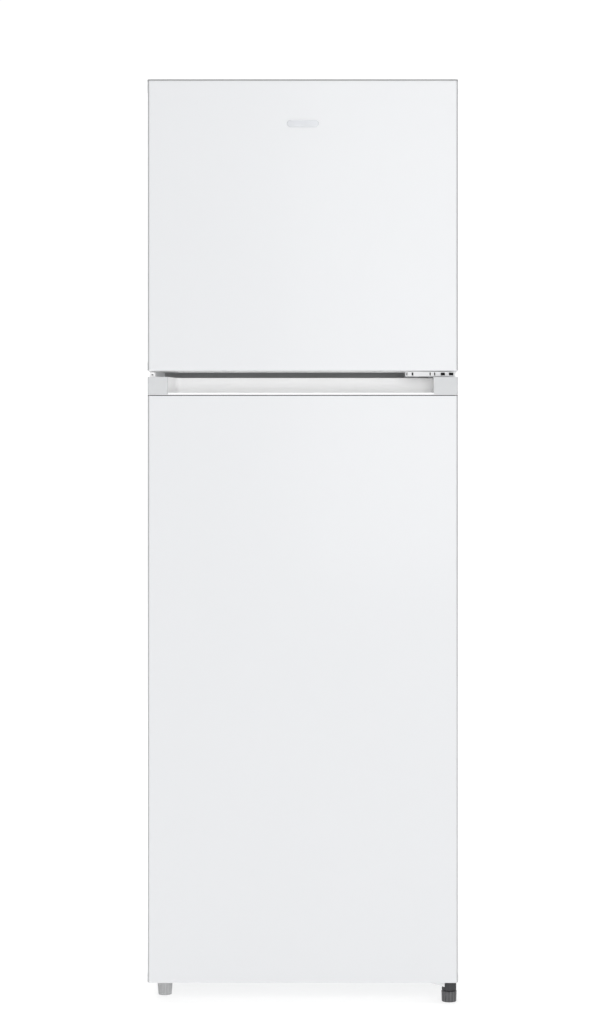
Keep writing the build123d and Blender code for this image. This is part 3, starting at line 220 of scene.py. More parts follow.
@dataclass(frozen=True)
class PaintedSheet:
    """Baked paint on sheet steel: a faint orange peel over the sheet's long, shallow waves."""

    name: str
    colour: Colour
    roughness: float = 0.34
    coat: float = 0.18
    peel_depth: float = 0.004 * MILLIMETRE
    wave_depth: float = 0.05 * MILLIMETRE
    # fold gives the place (side, front) of the upright front corners that are painted darker as
    # shade; the next field says how much darker.
    fold: Interval | None = None
    painted_edge_shade: float = 0.55

    def build(self) -> bpy.types.Material:
        """Make the material."""
        graph = Graph(
            self.name, {"Coat Weight": self.coat, "Coat Roughness": 0.12, "IOR": 1.5}
        )
        drift = graph.noise(2.2, 2.0)
        colour = graph.tone(drift, shade(self.colour, 0.99), self.colour)
        # Painted shade: the upright front corners are painted darker.
        if self.fold:
            painted_edge_mask = self.painted_edge_shade_mask(graph)
            colour = graph.blend(painted_edge_mask, colour, shade(self.colour, self.painted_edge_shade))
        graph.paint("Base Color", colour)
        gloss = graph.spread(graph.noise(60.0), self.roughness - 0.03, self.roughness + 0.03)
        graph.paint("Roughness", gloss)
        graph.relief(
            [
                (graph.noise(3.0, 1.0), self.wave_depth),
                (graph.noise(1100.0, 2.0), self.peel_depth),
            ]
        )
        return graph.material

    def painted_edge_shade_mask(self, graph: Graph) -> bpy.types.NodeSocket:
        """1 on the upright front corners, which are painted darker as shade, and 0 elsewhere."""
        side, front = self.fold
        axes = graph.add("SeparateXYZ", {0: graph.place})
        across = graph.add("Math", {0: axes.outputs[0]}, operation="ABSOLUTE").outputs[0]
        wide = graph.spread(across, 0.0, 1.0, (side - MILLIMETRE, side + MILLIMETRE))
        deep = graph.spread(
            axes.outputs[1], 1.0, 0.0, (front - MILLIMETRE, front + MILLIMETRE)
        )
        return graph.add("Math", {0: wide, 1: deep}, operation="MULTIPLY").outputs[0]


@dataclass(frozen=True)
class Moulding:
    """Injection-moulded plastic with a fine spark-eroded grain and slight flow marks."""

    name: str
    colour: Colour
    roughness: float = 0.45
    grain: float = 2600.0
    grain_depth: float = 0.008 * MILLIMETRE
    contrast: float = 0.03

    def build(self) -> bpy.types.Material:
        """Make the material."""
        graph = Graph(self.name, {"IOR": 1.49})
        flow = graph.noise(14.0, 4.0)
        darker = shade(self.colour, 1.0 - self.contrast)
        graph.paint("Base Color", graph.tone(flow, darker, self.colour))
        rubbed = graph.spread(graph.noise(35.0, 5.0), self.roughness - 0.06, self.roughness + 0.06)
        graph.paint("Roughness", rubbed)
        graph.relief([(graph.noise(self.grain, 2.0), self.grain_depth)])
        return graph.material


@dataclass(frozen=True)
class FormedLiner:
    """Glossy sheet plastic drawn over a mould: smooth, with faint draw waves."""

    name: str
    colour: Colour
    roughness: float = 0.3
    wave_depth: float = 0.05 * MILLIMETRE
    peel_depth: float = 0.002 * MILLIMETRE

    def build(self) -> bpy.types.Material:
        """Make the material."""
        graph = Graph(self.name, {"Coat Weight": 0.1, "Coat Roughness": 0.1, "IOR": 1.52})
        graph.paint(
            "Base Color", graph.tone(graph.noise(4.0, 3.0), shade(self.colour, 0.975), self.colour)
        )
        graph.paint(
            "Roughness",
            graph.spread(graph.noise(22.0, 4.0), self.roughness - 0.02, self.roughness + 0.04),
        )
        graph.relief(
            [
                (graph.noise(7.0, 1.0), self.wave_depth),
                (graph.noise(1500.0, 1.0), self.peel_depth),
            ]
        )
        return graph.material


@dataclass(frozen=True)
class ClearMoulding:
    """See-through plastic or glass, with handling haze in its gloss."""

    name: str
    tint: Colour
    index: float
    roughness: float = 0.05
    haze: float = 0.05

    def build(self) -> bpy.types.Material:
        """Make the material."""
        graph = Graph(self.name, {"Transmission Weight": 1.0, "IOR": self.index})
        flow = graph.noise(9.0, 3.0)
        graph.paint("Base Color", graph.tone(flow, shade(self.tint, 0.97), self.tint))
        graph.paint(
            "Roughness",
            graph.spread(graph.noise(26.0, 5.0), self.roughness, self.roughness + self.haze),
        )
        return graph.material


@dataclass(frozen=True)
class ZincSheet:
    """Galvanised steel with its frosted crystal pattern."""

    name: str
    colour: Colour
    spangle: float = 240.0
    wave_depth: float = 0.15 * MILLIMETRE
    frost_depth: float = 0.004 * MILLIMETRE

    def build(self) -> bpy.types.Material:
        """Make the material."""
        graph = Graph(self.name, {"Metallic": 0.9})
        crystal = graph.cells(self.spangle)
        graph.paint(
            "Base Color", graph.tone(crystal, shade(self.colour, 0.96), shade(self.colour, 1.05))
        )
        graph.paint("Roughness", graph.spread(crystal, 0.44, 0.52, (0.2, 0.8)))
        graph.relief(
            [
                (graph.noise(5.0, 1.0), self.wave_depth),
                (graph.noise(900.0, 2.0), self.frost_depth),
            ]
        )
        return graph.material


class Draw(Enum):
    """The way that a metal's fine lines run."""

    ALONG_X = (1.0, 40.0, 40.0)
    ALONG_Z = (40.0, 40.0, 1.0)
    NONE = (1.0, 1.0, 1.0)


@dataclass(frozen=True)
class BareMetal:
    """Drawn or brushed metal, with lines along one axis and a little staining."""

    name: str
    colour: Colour
    roughness: float
    draw: Draw = Draw.NONE
    stain: float = 0.85
    line_depth: float = 0.01 * MILLIMETRE

    def build(self) -> bpy.types.Material:
        """Make the material."""
        graph = Graph(self.name, {"Metallic": 1.0})
        stains = graph.noise(38.0, 5.0)
        graph.paint(
            "Base Color", graph.tone(stains, shade(self.colour, self.stain), self.colour)
        )
        lines = graph.noise(60.0, 4.0, graph.stretched(self.draw.value))
        graph.paint(
            "Roughness", graph.spread(lines, self.roughness - 0.06, self.roughness + 0.1)
        )
        graph.relief([(lines, self.line_depth)])
        return graph.material


@dataclass(frozen=True)
class SoftRubber:
    """Extruded or moulded rubber with a matt skin and a trace of bloom."""

    name: str
    colour: Colour
    bloom: float = 1.25
    pore_depth: float = 0.012 * MILLIMETRE

    def build(self) -> bpy.types.Material:
        """Make the material."""
        graph = Graph(self.name, {"Sheen Weight": 0.12, "Sheen Roughness": 0.5, "IOR": 1.45})
        patches = graph.noise(24.0, 5.0)
        graph.paint(
            "Base Color", graph.tone(patches, self.colour, shade(self.colour, self.bloom))
        )
        graph.paint("Roughness", graph.spread(graph.noise(80.0, 4.0), 0.62, 0.82))
        graph.relief([(graph.noise(1400.0, 3.0), self.pore_depth)])
        return graph.material


@dataclass(frozen=True)
class RigidFoam:
    """Poured insulating foam, full of fine cells."""

    name: str
    colour: Colour
    cells: float = 900.0
    cell_depth: float = 0.15 * MILLIMETRE

    def build(self) -> bpy.types.Material:
        """Make the material."""
        graph = Graph(self.name, {"Roughness": 0.9})
        cell = graph.cells(self.cells)
        graph.paint("Base Color", graph.tone(cell, shade(self.colour, 0.85), self.colour))
        graph.relief([(cell, self.cell_depth)])
        return graph.material


class Finish(Protocol):
    """What every finish can do."""

    def build(self) -> bpy.types.Material:
        """Make the material."""


FINISHES: dict[str, Finish] = {
    # The door paint's fold is a painted shade on its upright front corners.
    "door_paint": PaintedSheet(
        "door_paint", (0.8, 0.808, 0.822), fold=(270.5 * MILLIMETRE, -300.5 * MILLIMETRE)
    ),
    "cabinet_paint": PaintedSheet("cabinet_paint", (0.8, 0.808, 0.82), roughness=0.4),
    "grey_steel": ZincSheet("zinc_sheet", (0.60, 0.62, 0.64)),
    "foam": RigidFoam("rigid_foam", (0.83, 0.77, 0.55)),
    "liner_plastic": FormedLiner("liner_plastic", (0.925, 0.93, 0.93)),
    "trim_white": Moulding("white_moulding", (0.975, 0.975, 0.975), contrast=0.01),
    "trim_grey": Moulding("grey_moulding", (0.66, 0.67, 0.68)),
    "seal_rubber": SoftRubber("seal_rubber", (0.31, 0.315, 0.32)),
    "hinge_steel": PaintedSheet("hinge_paint", (0.60, 0.61, 0.62), roughness=0.42),
    "screw_steel": BareMetal("bright_zinc", (0.62, 0.63, 0.65), 0.28),
    "foot_light": Moulding("foot_grey", (0.47, 0.475, 0.48), roughness=0.5),
    "foot_dark": Moulding("foot_black", (0.15, 0.15, 0.155), roughness=0.45, contrast=0.3),
    "roller_plastic": Moulding("roller_black", (0.045, 0.045, 0.05), contrast=0.3),
    "compressor_black": PaintedSheet(
        "black_enamel", (0.018, 0.018, 0.02), roughness=0.3, coat=0.5
    ),
    "mount_rubber": SoftRubber("black_rubber", (0.025, 0.025, 0.027)),
    "pan_plastic": Moulding("pan_black", (0.06, 0.06, 0.065), contrast=0.25),
    "copper": BareMetal("copper_tube", (0.78, 0.42, 0.29), 0.3, stain=0.6),
    "aluminium": BareMetal("aluminium_fin", (0.78, 0.79, 0.8), 0.35, Draw.ALONG_Z),
    "clear_plastic": ClearMoulding("clear_plastic", (0.93, 0.965, 0.985), 1.49),
    "shelf_glass": ClearMoulding("shelf_glass", (0.88, 0.96, 0.93), 1.52, 0.01, 0.03),
    "fan_plastic": Moulding("fan_plastic", (0.75, 0.76, 0.77)),
    "motor_plastic": Moulding("dark_moulding", (0.08, 0.08, 0.085), contrast=0.2),
    "knob_plastic": Moulding("knob_plastic", (0.5, 0.54, 0.6)),
    "ice_tray_plastic": Moulding("tray_plastic", (0.72, 0.82, 0.9), roughness=0.32),
    "lens_plastic": ClearMoulding("lens_plastic", (0.97, 0.97, 0.95), 1.49, 0.45, 0.1),
    "badge_metal": BareMetal("badge_satin", (0.58, 0.59, 0.61), 0.4, Draw.ALONG_X, 0.95),
}

# Finishes of pieces and nodes that differ from what their material slot has.
EXTRA_FINISHES: dict[str, Finish] = {
    # Painted shadow: a near-black strip in the seam under the handle band.
    "seam_painted_shadow": Moulding("seam_shadow", (0.06, 0.06, 0.064), roughness=0.8, contrast=0.2),
    # Painted shade: a grey strip on the top edge of the freezer door, for the shade on its rounded
    # edge.
    "top_edge_painted_shade": Moulding("top_edge_painted_shade", (0.4, 0.405, 0.41), roughness=0.5),
    "shroud_grey": Moulding("shroud_grey", (0.8, 0.805, 0.81), roughness=0.5),
    # Painted shade: near-black on the deep faces of the hinge cover's screw recesses.
    "recess_painted_shade": Moulding("recess_painted_shade", (0.02, 0.02, 0.022), roughness=0.8, contrast=0.2),
    "collar_dark": Moulding("collar_black", (0.055, 0.055, 0.06), contrast=0.3),
    "rail_painted_shade": Moulding("rail_painted_shade", (0.36, 0.365, 0.37)),
}

# The rail lies in shade between the doors; its grey, darker than the slot's, is a painted shade.
OWN_FINISHES = {"centre_rail": "rail_painted_shade"}


class Wardrobe:
    """Makes each finish once and dresses pieces in it."""

    def __init__(self) -> None:
        """Start with nothing made."""
        self.made: dict[str, bpy.types.Material] = {}

    def dress(self, piece: bpy.types.Object, slot: str) -> None:
        """Give a piece one finish, in place of those that it has.

        Args:
            piece: The object.
            slot: The finish's name, which is a material slot's unless it is an extra one.
        """
        piece.data.materials.clear()
        self.add(piece, slot)

    def add(self, piece: bpy.types.Object, slot: str) -> None:
        """Give a piece one more finish, after those that it has.

        Args:
            piece: The object.
            slot: The finish's name.
        """
        if slot not in self.made:
            finish = FINISHES.get(slot) or EXTRA_FINISHES[slot]
            self.made[slot] = finish.build()
        piece.data.materials.append(self.made[slot])


# ---- Modelling in edit mode ----------------------------------------------------------------------


def deselect() -> None:
    """Leave nothing selected."""
    for item in bpy.context.selected_objects:
        item.select_set(False)


def start_rectangle(name: str, x: Interval, y: float, z: Interval) -> bpy.types.Object:
    """Add an upright rectangle that faces the back, and go into edit mode with it selected.

    Args:
        name: The new object's name.
        x: Its sides.
        y: Its depth.
        z: Its foot and head.

    Returns:
        The object, with its place in its mesh.
    """
    deselect()
    bpy.ops.mesh.primitive_plane_add(size=1.0)
    piece = bpy.context.object
    piece.name = piece.data.name = name
    places = ((x[0], z[0]), (x[1], z[0]), (x[0], z[1]), (x[1], z[1]))
    for vertex, (side, rise) in zip(piece.data.vertices, places):
        vertex.co = (side, y, rise)
    bpy.ops.object.mode_set(mode="EDIT")
    bpy.ops.mesh.select_all(action="SELECT")
    bpy.ops.mesh.normals_make_consistent(inside=False)
    return piece


def select_only(piece: bpy.types.Object) -> None:
    """Make a piece the one selected object, and the active one."""
    deselect()
    piece.select_set(True)
    bpy.context.view_layer.objects.active = piece


def close_mesh(piece: bpy.types.Object) -> None:
    """Leave edit mode with the faces turned outwards."""
    bpy.ops.mesh.select_all(action="SELECT")
    bpy.ops.mesh.remove_doubles(threshold=DOUBLES)
    bpy.ops.mesh.normals_make_consistent(inside=False)
    bpy.ops.object.mode_set(mode="OBJECT")
    select_only(piece)


def cut(point: Sequence[float], normal: Sequence[float]) -> None:
    """Cut the whole mesh along a plane."""
    bpy.ops.mesh.select_all(action="SELECT")
    bpy.ops.mesh.bisect(plane_co=point, plane_no=normal)


def push(x: float, y: float, z: float = 0.0) -> None:
    """Extrude the selection along a vector."""
    bpy.ops.mesh.extrude_region_move(TRANSFORM_OT_translate={"value": (x, y, z)})


def round_edges(
    piece: bpy.types.Object, width: float, segments: int, limit: float | None = None
) -> None:
    """Round a piece's sharp edges.

    Args:
        piece: The active object.
        width: Width of the rounding.
        segments: How many faces it has.
        limit: Angle in degrees from which an edge is rounded, or None for Blender's own.
    """
    bevel = piece.modifiers.new("rounding", "BEVEL")
    bevel.width = width
    bevel.segments = segments
    bevel.limit_method = "ANGLE"
    if limit is not None:
        bevel.angle_limit = math.radians(limit)
    bpy.ops.object.modifier_apply(modifier=bevel.name)


def thicken(piece: bpy.types.Object, thickness: float) -> None:
    """Give a sheet its thickness, behind its faces."""
    solid = piece.modifiers.new("wall", "SOLIDIFY")
    solid.thickness = thickness
    solid.offset = -1.0
    bpy.ops.object.modifier_apply(modifier=solid.name)


def smooth(angle: float) -> None:
    """Shade the active object smooth, up to an angle in degrees between faces."""
    bpy.ops.object.shade_smooth_by_angle(angle=math.radians(angle))


def plan_centre(node: str) -> tuple[float, float]:
    """Middle of a CAD node's box in plan."""
    low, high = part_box(node)
    return ((low.x + high.x) / 2, (low.y + high.y) / 2)


def press_ribs(
    piece: bpy.types.Object,
    middle: tuple[float, float],
    radius: float,
    ribs: int,
    border: float,
    depth: float,
) -> None:
    """Press every other side of a drum inwards, so that ribs are left between.

    Args:
        piece: The drum, in edit mode.
        middle: Its axis in plan.
        radius: Its radius, by which its sides are told from its ends.
        ribs: How many ribs it gets.
        border: Width of the slope round each groove.
        depth: The grooves' depth.
    """
    turn = math.pi / ribs

    def pressed(centre: Vector) -> bool:
        """True for the middle of a side that is pressed in."""
        side = (centre.x - middle[0], centre.y - middle[1])
        if math.hypot(*side) < radius / 2:
            return False
        return int(math.floor(math.atan2(side[1], side[0]) / turn)) % 2 == 0

    choose_faces(piece, pressed)
    bpy.ops.mesh.inset(thickness=border, depth=-depth, use_individual=True)


def choose_faces(piece: bpy.types.Object, wanted: Callable[[Vector], bool]) -> None:
    """Select the faces whose centre passes a test.

    Args:
        piece: The object, in edit mode.
        wanted: Function of a face's centre that says whether it is taken.
    """
    bpy.ops.mesh.select_all(action="DESELECT")
    bpy.ops.object.mode_set(mode="OBJECT")
    for face in piece.data.polygons:
        face.select = wanted(face.center)
    bpy.ops.object.mode_set(mode="EDIT")


def start_strip(
    name: str, first: tuple[float, float], second: tuple[float, float], z: Interval
) -> bpy.types.Object:
    """Add an upright strip between two points in plan, with its far end selected in edit mode.

    Args:
        name: The new object's name.
        first: The near end's place in plan.
        second: The far end's place in plan.
        z: The strip's foot and head.

    Returns:
        The object.
    """
    piece = start_rectangle(name, (0.0, 1.0), 0.0, z)
    bpy.ops.object.mode_set(mode="OBJECT")
    for vertex in piece.data.vertices:
        far = vertex.co.x > 0.5
        place = second if far else first
        vertex.co = (place[0], place[1], vertex.co.z)
    bpy.ops.object.mode_set(mode="EDIT")
    bpy.ops.mesh.select_mode(type="VERT")
    bpy.ops.mesh.select_all(action="DESELECT")
    bpy.ops.object.mode_set(mode="OBJECT")
    for vertex in piece.data.vertices:
        gap = math.hypot(vertex.co.x - second[0], vertex.co.y - second[1])
        vertex.select = gap < SAME_PLACE
    bpy.ops.object.mode_set(mode="EDIT")
    return piece


# ---- Sub-assemblies ------------------------------------------------------------------------------


@dataclass
class BellowsSeal:
    """Magnetic door seal: a clip strip, two soft folds and a flat magnet bead."""

    door: str
    width: float = 14.0 * MILLIMETRE
    fold: float = 2.4 * MILLIMETRE
    levels: tuple[float, ...] = (0.16, 0.28, 0.40, 0.52, 0.64)
    rounding: float = 0.3 * MILLIMETRE

    def build(self, wardrobe: Wardrobe) -> bpy.types.Object:
        """Model the seal in the room of its CAD solid.

        Args:
            wardrobe: The finishes.

        Returns:
            The seal.
        """
        node = f"{self.door}_gasket"
        low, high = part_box(node)
        depth = high.y - low.y
        piece = start_rectangle(
            f"{self.door}_seal", (low.x, high.x), low.y, (low.z, high.z)
        )
        bpy.ops.mesh.inset(thickness=self.width, use_boundary=True)
        bpy.ops.mesh.delete(type="FACE")
        bpy.ops.mesh.select_all(action="SELECT")
        push(0.0, depth)
        for share in self.levels:
            cut((0.0, low.y + share * depth, 0.0), (0.0, 1.0, 0.0))
        for share in self.levels[1::2]:
            self.pinch(piece, low, high, low.y + share * depth)
        close_mesh(piece)
        round_edges(piece, self.rounding, segments=2)
        smooth(angle=35.0)
        wardrobe.dress(piece, "seal_rubber")
        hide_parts(node)
        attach(piece, self.door)
        return piece

    def pinch(self, piece: bpy.types.Object, low: Vector, high: Vector, y: float) -> None:
        """Draw the outer and the inner wall of the ring towards each other at one depth.

        Args:
            piece: The seal, in edit mode.
            low: The ring's lower corner.
            high: Its upper corner.
            y: The depth of the fold.
        """
        centre = (low + high) / 2
        half = (high - low) / 2
        bpy.ops.mesh.select_mode(type="VERT")
        for inner in (False, True):
            edge = half.x - (self.width if inner else 0.0)
            rise = half.z - (self.width if inner else 0.0)
            step = self.fold if inner else -self.fold
            bpy.ops.mesh.select_all(action="DESELECT")
            bpy.ops.object.mode_set(mode="OBJECT")
            for vertex in piece.data.vertices:
                outwards = abs(vertex.co.x - centre.x) > half.x - self.width / 2
                outwards = outwards or abs(vertex.co.z - centre.z) > half.z - self.width / 2
                level = abs(vertex.co.y - y) < SAME_PLACE
                vertex.select = level and outwards != inner
            bpy.ops.object.mode_set(mode="EDIT")
            bpy.ops.transform.resize(
                value=((edge + step) / edge, 1.0, (rise + step) / rise),
                center_override=(centre.x, y, centre.z),
            )


@dataclass
class PressedBack:
    """Back sheet of the cabinet with shallow pressed fields that stiffen it."""

    columns: int = 2
    rows: int = 4
    margin: float = 34.0 * MILLIMETRE
    spacing: float = 30.0 * MILLIMETRE
    head: float = 150.0 * MILLIMETRE
    rise: float = 3.2 * MILLIMETRE
    slope: float = 4.0 * MILLIMETRE
    press_radius: float = 1.2 * MILLIMETRE
    press_angle: float = 8.0

    def build(self, wardrobe: Wardrobe) -> bpy.types.Object:
        """Model the sheet over its CAD node.

        Args:
            wardrobe: The finishes.

        Returns:
            The sheet.
        """
        low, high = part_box("back_panel")
        piece = start_rectangle("pressed_back", (low.x, high.x), high.y, (low.z, high.z))
        fields = self.fields(low, high)
        cuts_x = sorted({side for x, _ in fields for side in x})
        cuts_z = sorted({side for _, z in fields for side in z})
        for x in cuts_x:
            cut((x, 0.0, 0.0), (1.0, 0.0, 0.0))
        for z in cuts_z:
            cut((0.0, 0.0, z), (0.0, 0.0, 1.0))
        choose_faces(piece, lambda centre: self.inside(centre, fields))
        bpy.ops.mesh.inset(thickness=self.slope, use_individual=True)
        bpy.ops.transform.translate(value=(0.0, self.rise, 0.0))
        bpy.ops.mesh.inset(thickness=self.slope, use_individual=True)
        bpy.ops.object.mode_set(mode="OBJECT")
        select_only(piece)
        round_edges(piece, self.press_radius, segments=3, limit=self.press_angle)
        thicken(piece, high.y - low.y)
        smooth(angle=30.0)
        wardrobe.dress(piece, "grey_steel")
        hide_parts("back_panel")
        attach(piece, "cabinet")
        return piece

    def fields(self, low: Vector, high: Vector) -> list[tuple[Interval, Interval]]:
        """The pressed fields' sides and their feet and heads."""
        left, right = low.x + self.margin, high.x - self.margin
        foot, top = low.z + self.margin, high.z - self.head
        wide = (right - left - (self.columns - 1) * self.spacing) / self.columns
        tall = (top - foot - (self.rows - 1) * self.spacing) / self.rows
        found = []
        for column in range(self.columns):
            x = left + column * (wide + self.spacing)
            for row in range(self.rows):
                z = foot + row * (tall + self.spacing)
                found.append(((x, x + wide), (z, z + tall)))
        return found

    def inside(self, centre: Vector, fields: list[tuple[Interval, Interval]]) -> bool:
        """True if a face's centre lies in one of the fields."""
        return any(
            x[0] < centre.x < x[1] and z[0] < centre.z < z[1] for x, z in fields
        )


@dataclass
class EdgeStrip:
    """Thin moulded strip that follows the front and the rounded corners of a door, in a dark or
    grey finish that paints shade.
    """

    name: str
    body: str
    finish: str
    slot: str
    foot: float
    head: float
    inset: float
    reach: float
    thickness: float
    corner: float = 5.0 * MILLIMETRE
    steps: int = 4
    rounding: float = 0.15 * MILLIMETRE

    def build(self, wardrobe: Wardrobe) -> bpy.types.Object:
        """Extrude the strip along the door's outline, and give it its thickness.

        Args:
            wardrobe: The finishes.

        Returns:
            The strip.
        """
        line = self.outline()
        piece = start_strip(self.name, line[0], line[1], (self.foot, self.head))
        for here, there in zip(line[1:], line[2:]):
            push(there[0] - here[0], there[1] - here[1])
        close_mesh(piece)
        self.turn_forwards(piece)
        thicken(piece, self.thickness)
        round_edges(piece, self.rounding, segments=2)
        smooth(angle=40.0)
        wardrobe.dress(piece, self.finish)
        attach(piece, self.body)
        return piece

    def outline(self) -> list[tuple[float, float]]:
        """Points in plan, from one side of the door round its front to the other side."""
        low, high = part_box("fridge_door_skin")
        bend = self.corner - self.inset
        front = low.y + self.inset
        half = high.x - self.inset
        quarter = [math.radians(90.0 * step / self.steps) for step in range(self.steps + 1)]
        right = [
            (half - bend + bend * math.sin(turn), front + bend - bend * math.cos(turn))
            for turn in quarter
        ]
        end = (half, front + bend + self.reach)
        left = [(-x, y) for x, y in reversed(right)]
        return [(-end[0], end[1]), *left, *right, end]

    def turn_forwards(self, piece: bpy.types.Object) -> None:
        """Make the strip's faces point out of the door."""
        middle = max(piece.data.polygons, key=lambda face: face.area)
        if middle.normal.y > 0.0:
            bpy.ops.object.mode_set(mode="EDIT")
            bpy.ops.mesh.select_all(action="SELECT")
            bpy.ops.mesh.flip_normals()
            bpy.ops.object.mode_set(mode="OBJECT")


@dataclass
class HingeShroud:
    """Cover in the gap between the doors, in front of the middle hinge, with its screw recesses.

    The recesses' sides are in millimetres; their faces deeper than a share of their depth, set
    below, get a painted shade, near-black.
    """

    clearance: float = 1.1 * MILLIMETRE
    door_lip: float = MILLIMETRE
    set_back: float = 6.5 * MILLIMETRE
    depth: float = 5.0 * MILLIMETRE
    recess: float = 3.4 * MILLIMETRE
    recess_half: float = 2.6 * MILLIMETRE
    painted_shade_from: float = 0.2
    right_end: float = 267.0 * MILLIMETRE
    recesses: tuple[Interval, ...] = (
        (182.2, 184.0),
        (191.5, 194.5),
        (223.0, 225.0),
        (231.0, 233.0),
        (242.5, 250.0),
        (257.0, 265.0),
    )

    def build(self, wardrobe: Wardrobe) -> bpy.types.Object:
        """Model the cover.

        Args:
            wardrobe: The finishes.

        Returns:
            The cover.
        """
        door_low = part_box("freezer_door_skin")[0]
        fridge_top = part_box("fridge_door_liner")[1].z + self.door_lip
        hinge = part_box("middle_hinge")[0]
        front = door_low.y + self.set_back
        z = (fridge_top + self.clearance, door_low.z - self.clearance)
        middle = (z[0] + z[1]) / 2
        piece = start_rectangle("hinge_shroud", (hinge.x, self.right_end), front, z)
        for x in [side * MILLIMETRE for pair in self.recesses for side in pair]:
            cut((x, 0.0, 0.0), (1.0, 0.0, 0.0))
        for rise in (-self.recess_half, self.recess_half):
            cut((0.0, 0.0, middle + rise), (0.0, 0.0, 1.0))
        bpy.ops.mesh.select_mode(type="FACE")
        choose_faces(piece, lambda centre: self.in_recess(centre, middle))
        push(0.0, self.recess)
        bpy.ops.mesh.select_all(action="SELECT")
        bpy.ops.mesh.normals_make_consistent(inside=False)
        bpy.ops.object.mode_set(mode="OBJECT")
        self.close_back(piece)
        wardrobe.dress(piece, "shroud_grey")
        # Painted shade: the deep faces of the recesses take the near-black finish.
        wardrobe.add(piece, "recess_painted_shade")
        for face in piece.data.polygons:
            deep = face.center.y > front + self.painted_shade_from * self.recess
            if deep and self.in_recess(face.center, middle, NEAR):
                face.material_index = 1
        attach(piece, "cabinet")
        return piece

    def in_recess(self, centre: Vector, middle: float, slack: float = 0.0) -> bool:
        """True if a face's centre lies in one of the recesses."""
        level = abs(centre.z - middle) < self.recess_half + slack
        return level and any(
            left * MILLIMETRE - slack < centre.x < right * MILLIMETRE + slack
            for left, right in self.recesses
        )

    def close_back(self, piece: bpy.types.Object) -> None:
        """Extrude the outer rim backwards and close it, so that the cover is a solid block."""
        select_only(piece)
        bpy.ops.object.mode_set(mode="EDIT")
        bpy.ops.mesh.select_mode(type="EDGE")
        bpy.ops.mesh.select_all(action="DESELECT")
        bpy.ops.mesh.select_non_manifold()
        push(0.0, self.depth)
        bpy.ops.mesh.edge_face_add()
        close_mesh(piece)


@dataclass
class LevellingFoot:
    """Screw-in foot: a knob with finger ribs, narrower downwards, and the stem above it."""

    node: str
    finish: str
    head: float
    top_radius: float
    sole_radius: float
    stem_top: float
    groove: float
    ribs: int = 14
    groove_slope: float = 0.5 * MILLIMETRE
    stem_radius: float = 5.0 * MILLIMETRE
    collar: float = 3.0 * MILLIMETRE
    collar_rise: float = 0.8 * MILLIMETRE
    rounding: float = 0.2 * MILLIMETRE

    def build(self, wardrobe: Wardrobe) -> bpy.types.Object:
        """Model the foot over its CAD node.

        Args:
            wardrobe: The finishes.

        Returns:
            The foot.
        """
        middle = plan_centre(self.node)
        deselect()
        bpy.ops.mesh.primitive_cone_add(
            vertices=2 * self.ribs,
            radius1=self.sole_radius,
            radius2=self.top_radius,
            depth=self.head,
            location=(middle[0], middle[1], self.head / 2),
        )
        piece = bpy.context.object
        piece.name = piece.data.name = f"{self.node}_knob"
        bpy.ops.object.transform_apply(location=True, rotation=True, scale=True)
        bpy.ops.object.mode_set(mode="EDIT")
        bpy.ops.mesh.select_mode(type="FACE")
        press_ribs(piece, middle, self.sole_radius, self.ribs, self.groove_slope, self.groove)
        choose_faces(piece, lambda centre: centre.z > self.head - NEAR)
        bpy.ops.mesh.inset(thickness=self.collar)
        bpy.ops.transform.translate(value=(0.0, 0.0, self.collar_rise))
        bpy.ops.mesh.inset(thickness=self.top_radius - self.collar - self.stem_radius)
        push(0.0, 0.0, self.stem_top - self.head)
        close_mesh(piece)
        round_edges(piece, self.rounding, segments=2)
        smooth(angle=32.0)
        wardrobe.dress(piece, self.finish)
        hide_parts(self.node)
        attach(piece, self.node)
        return piece


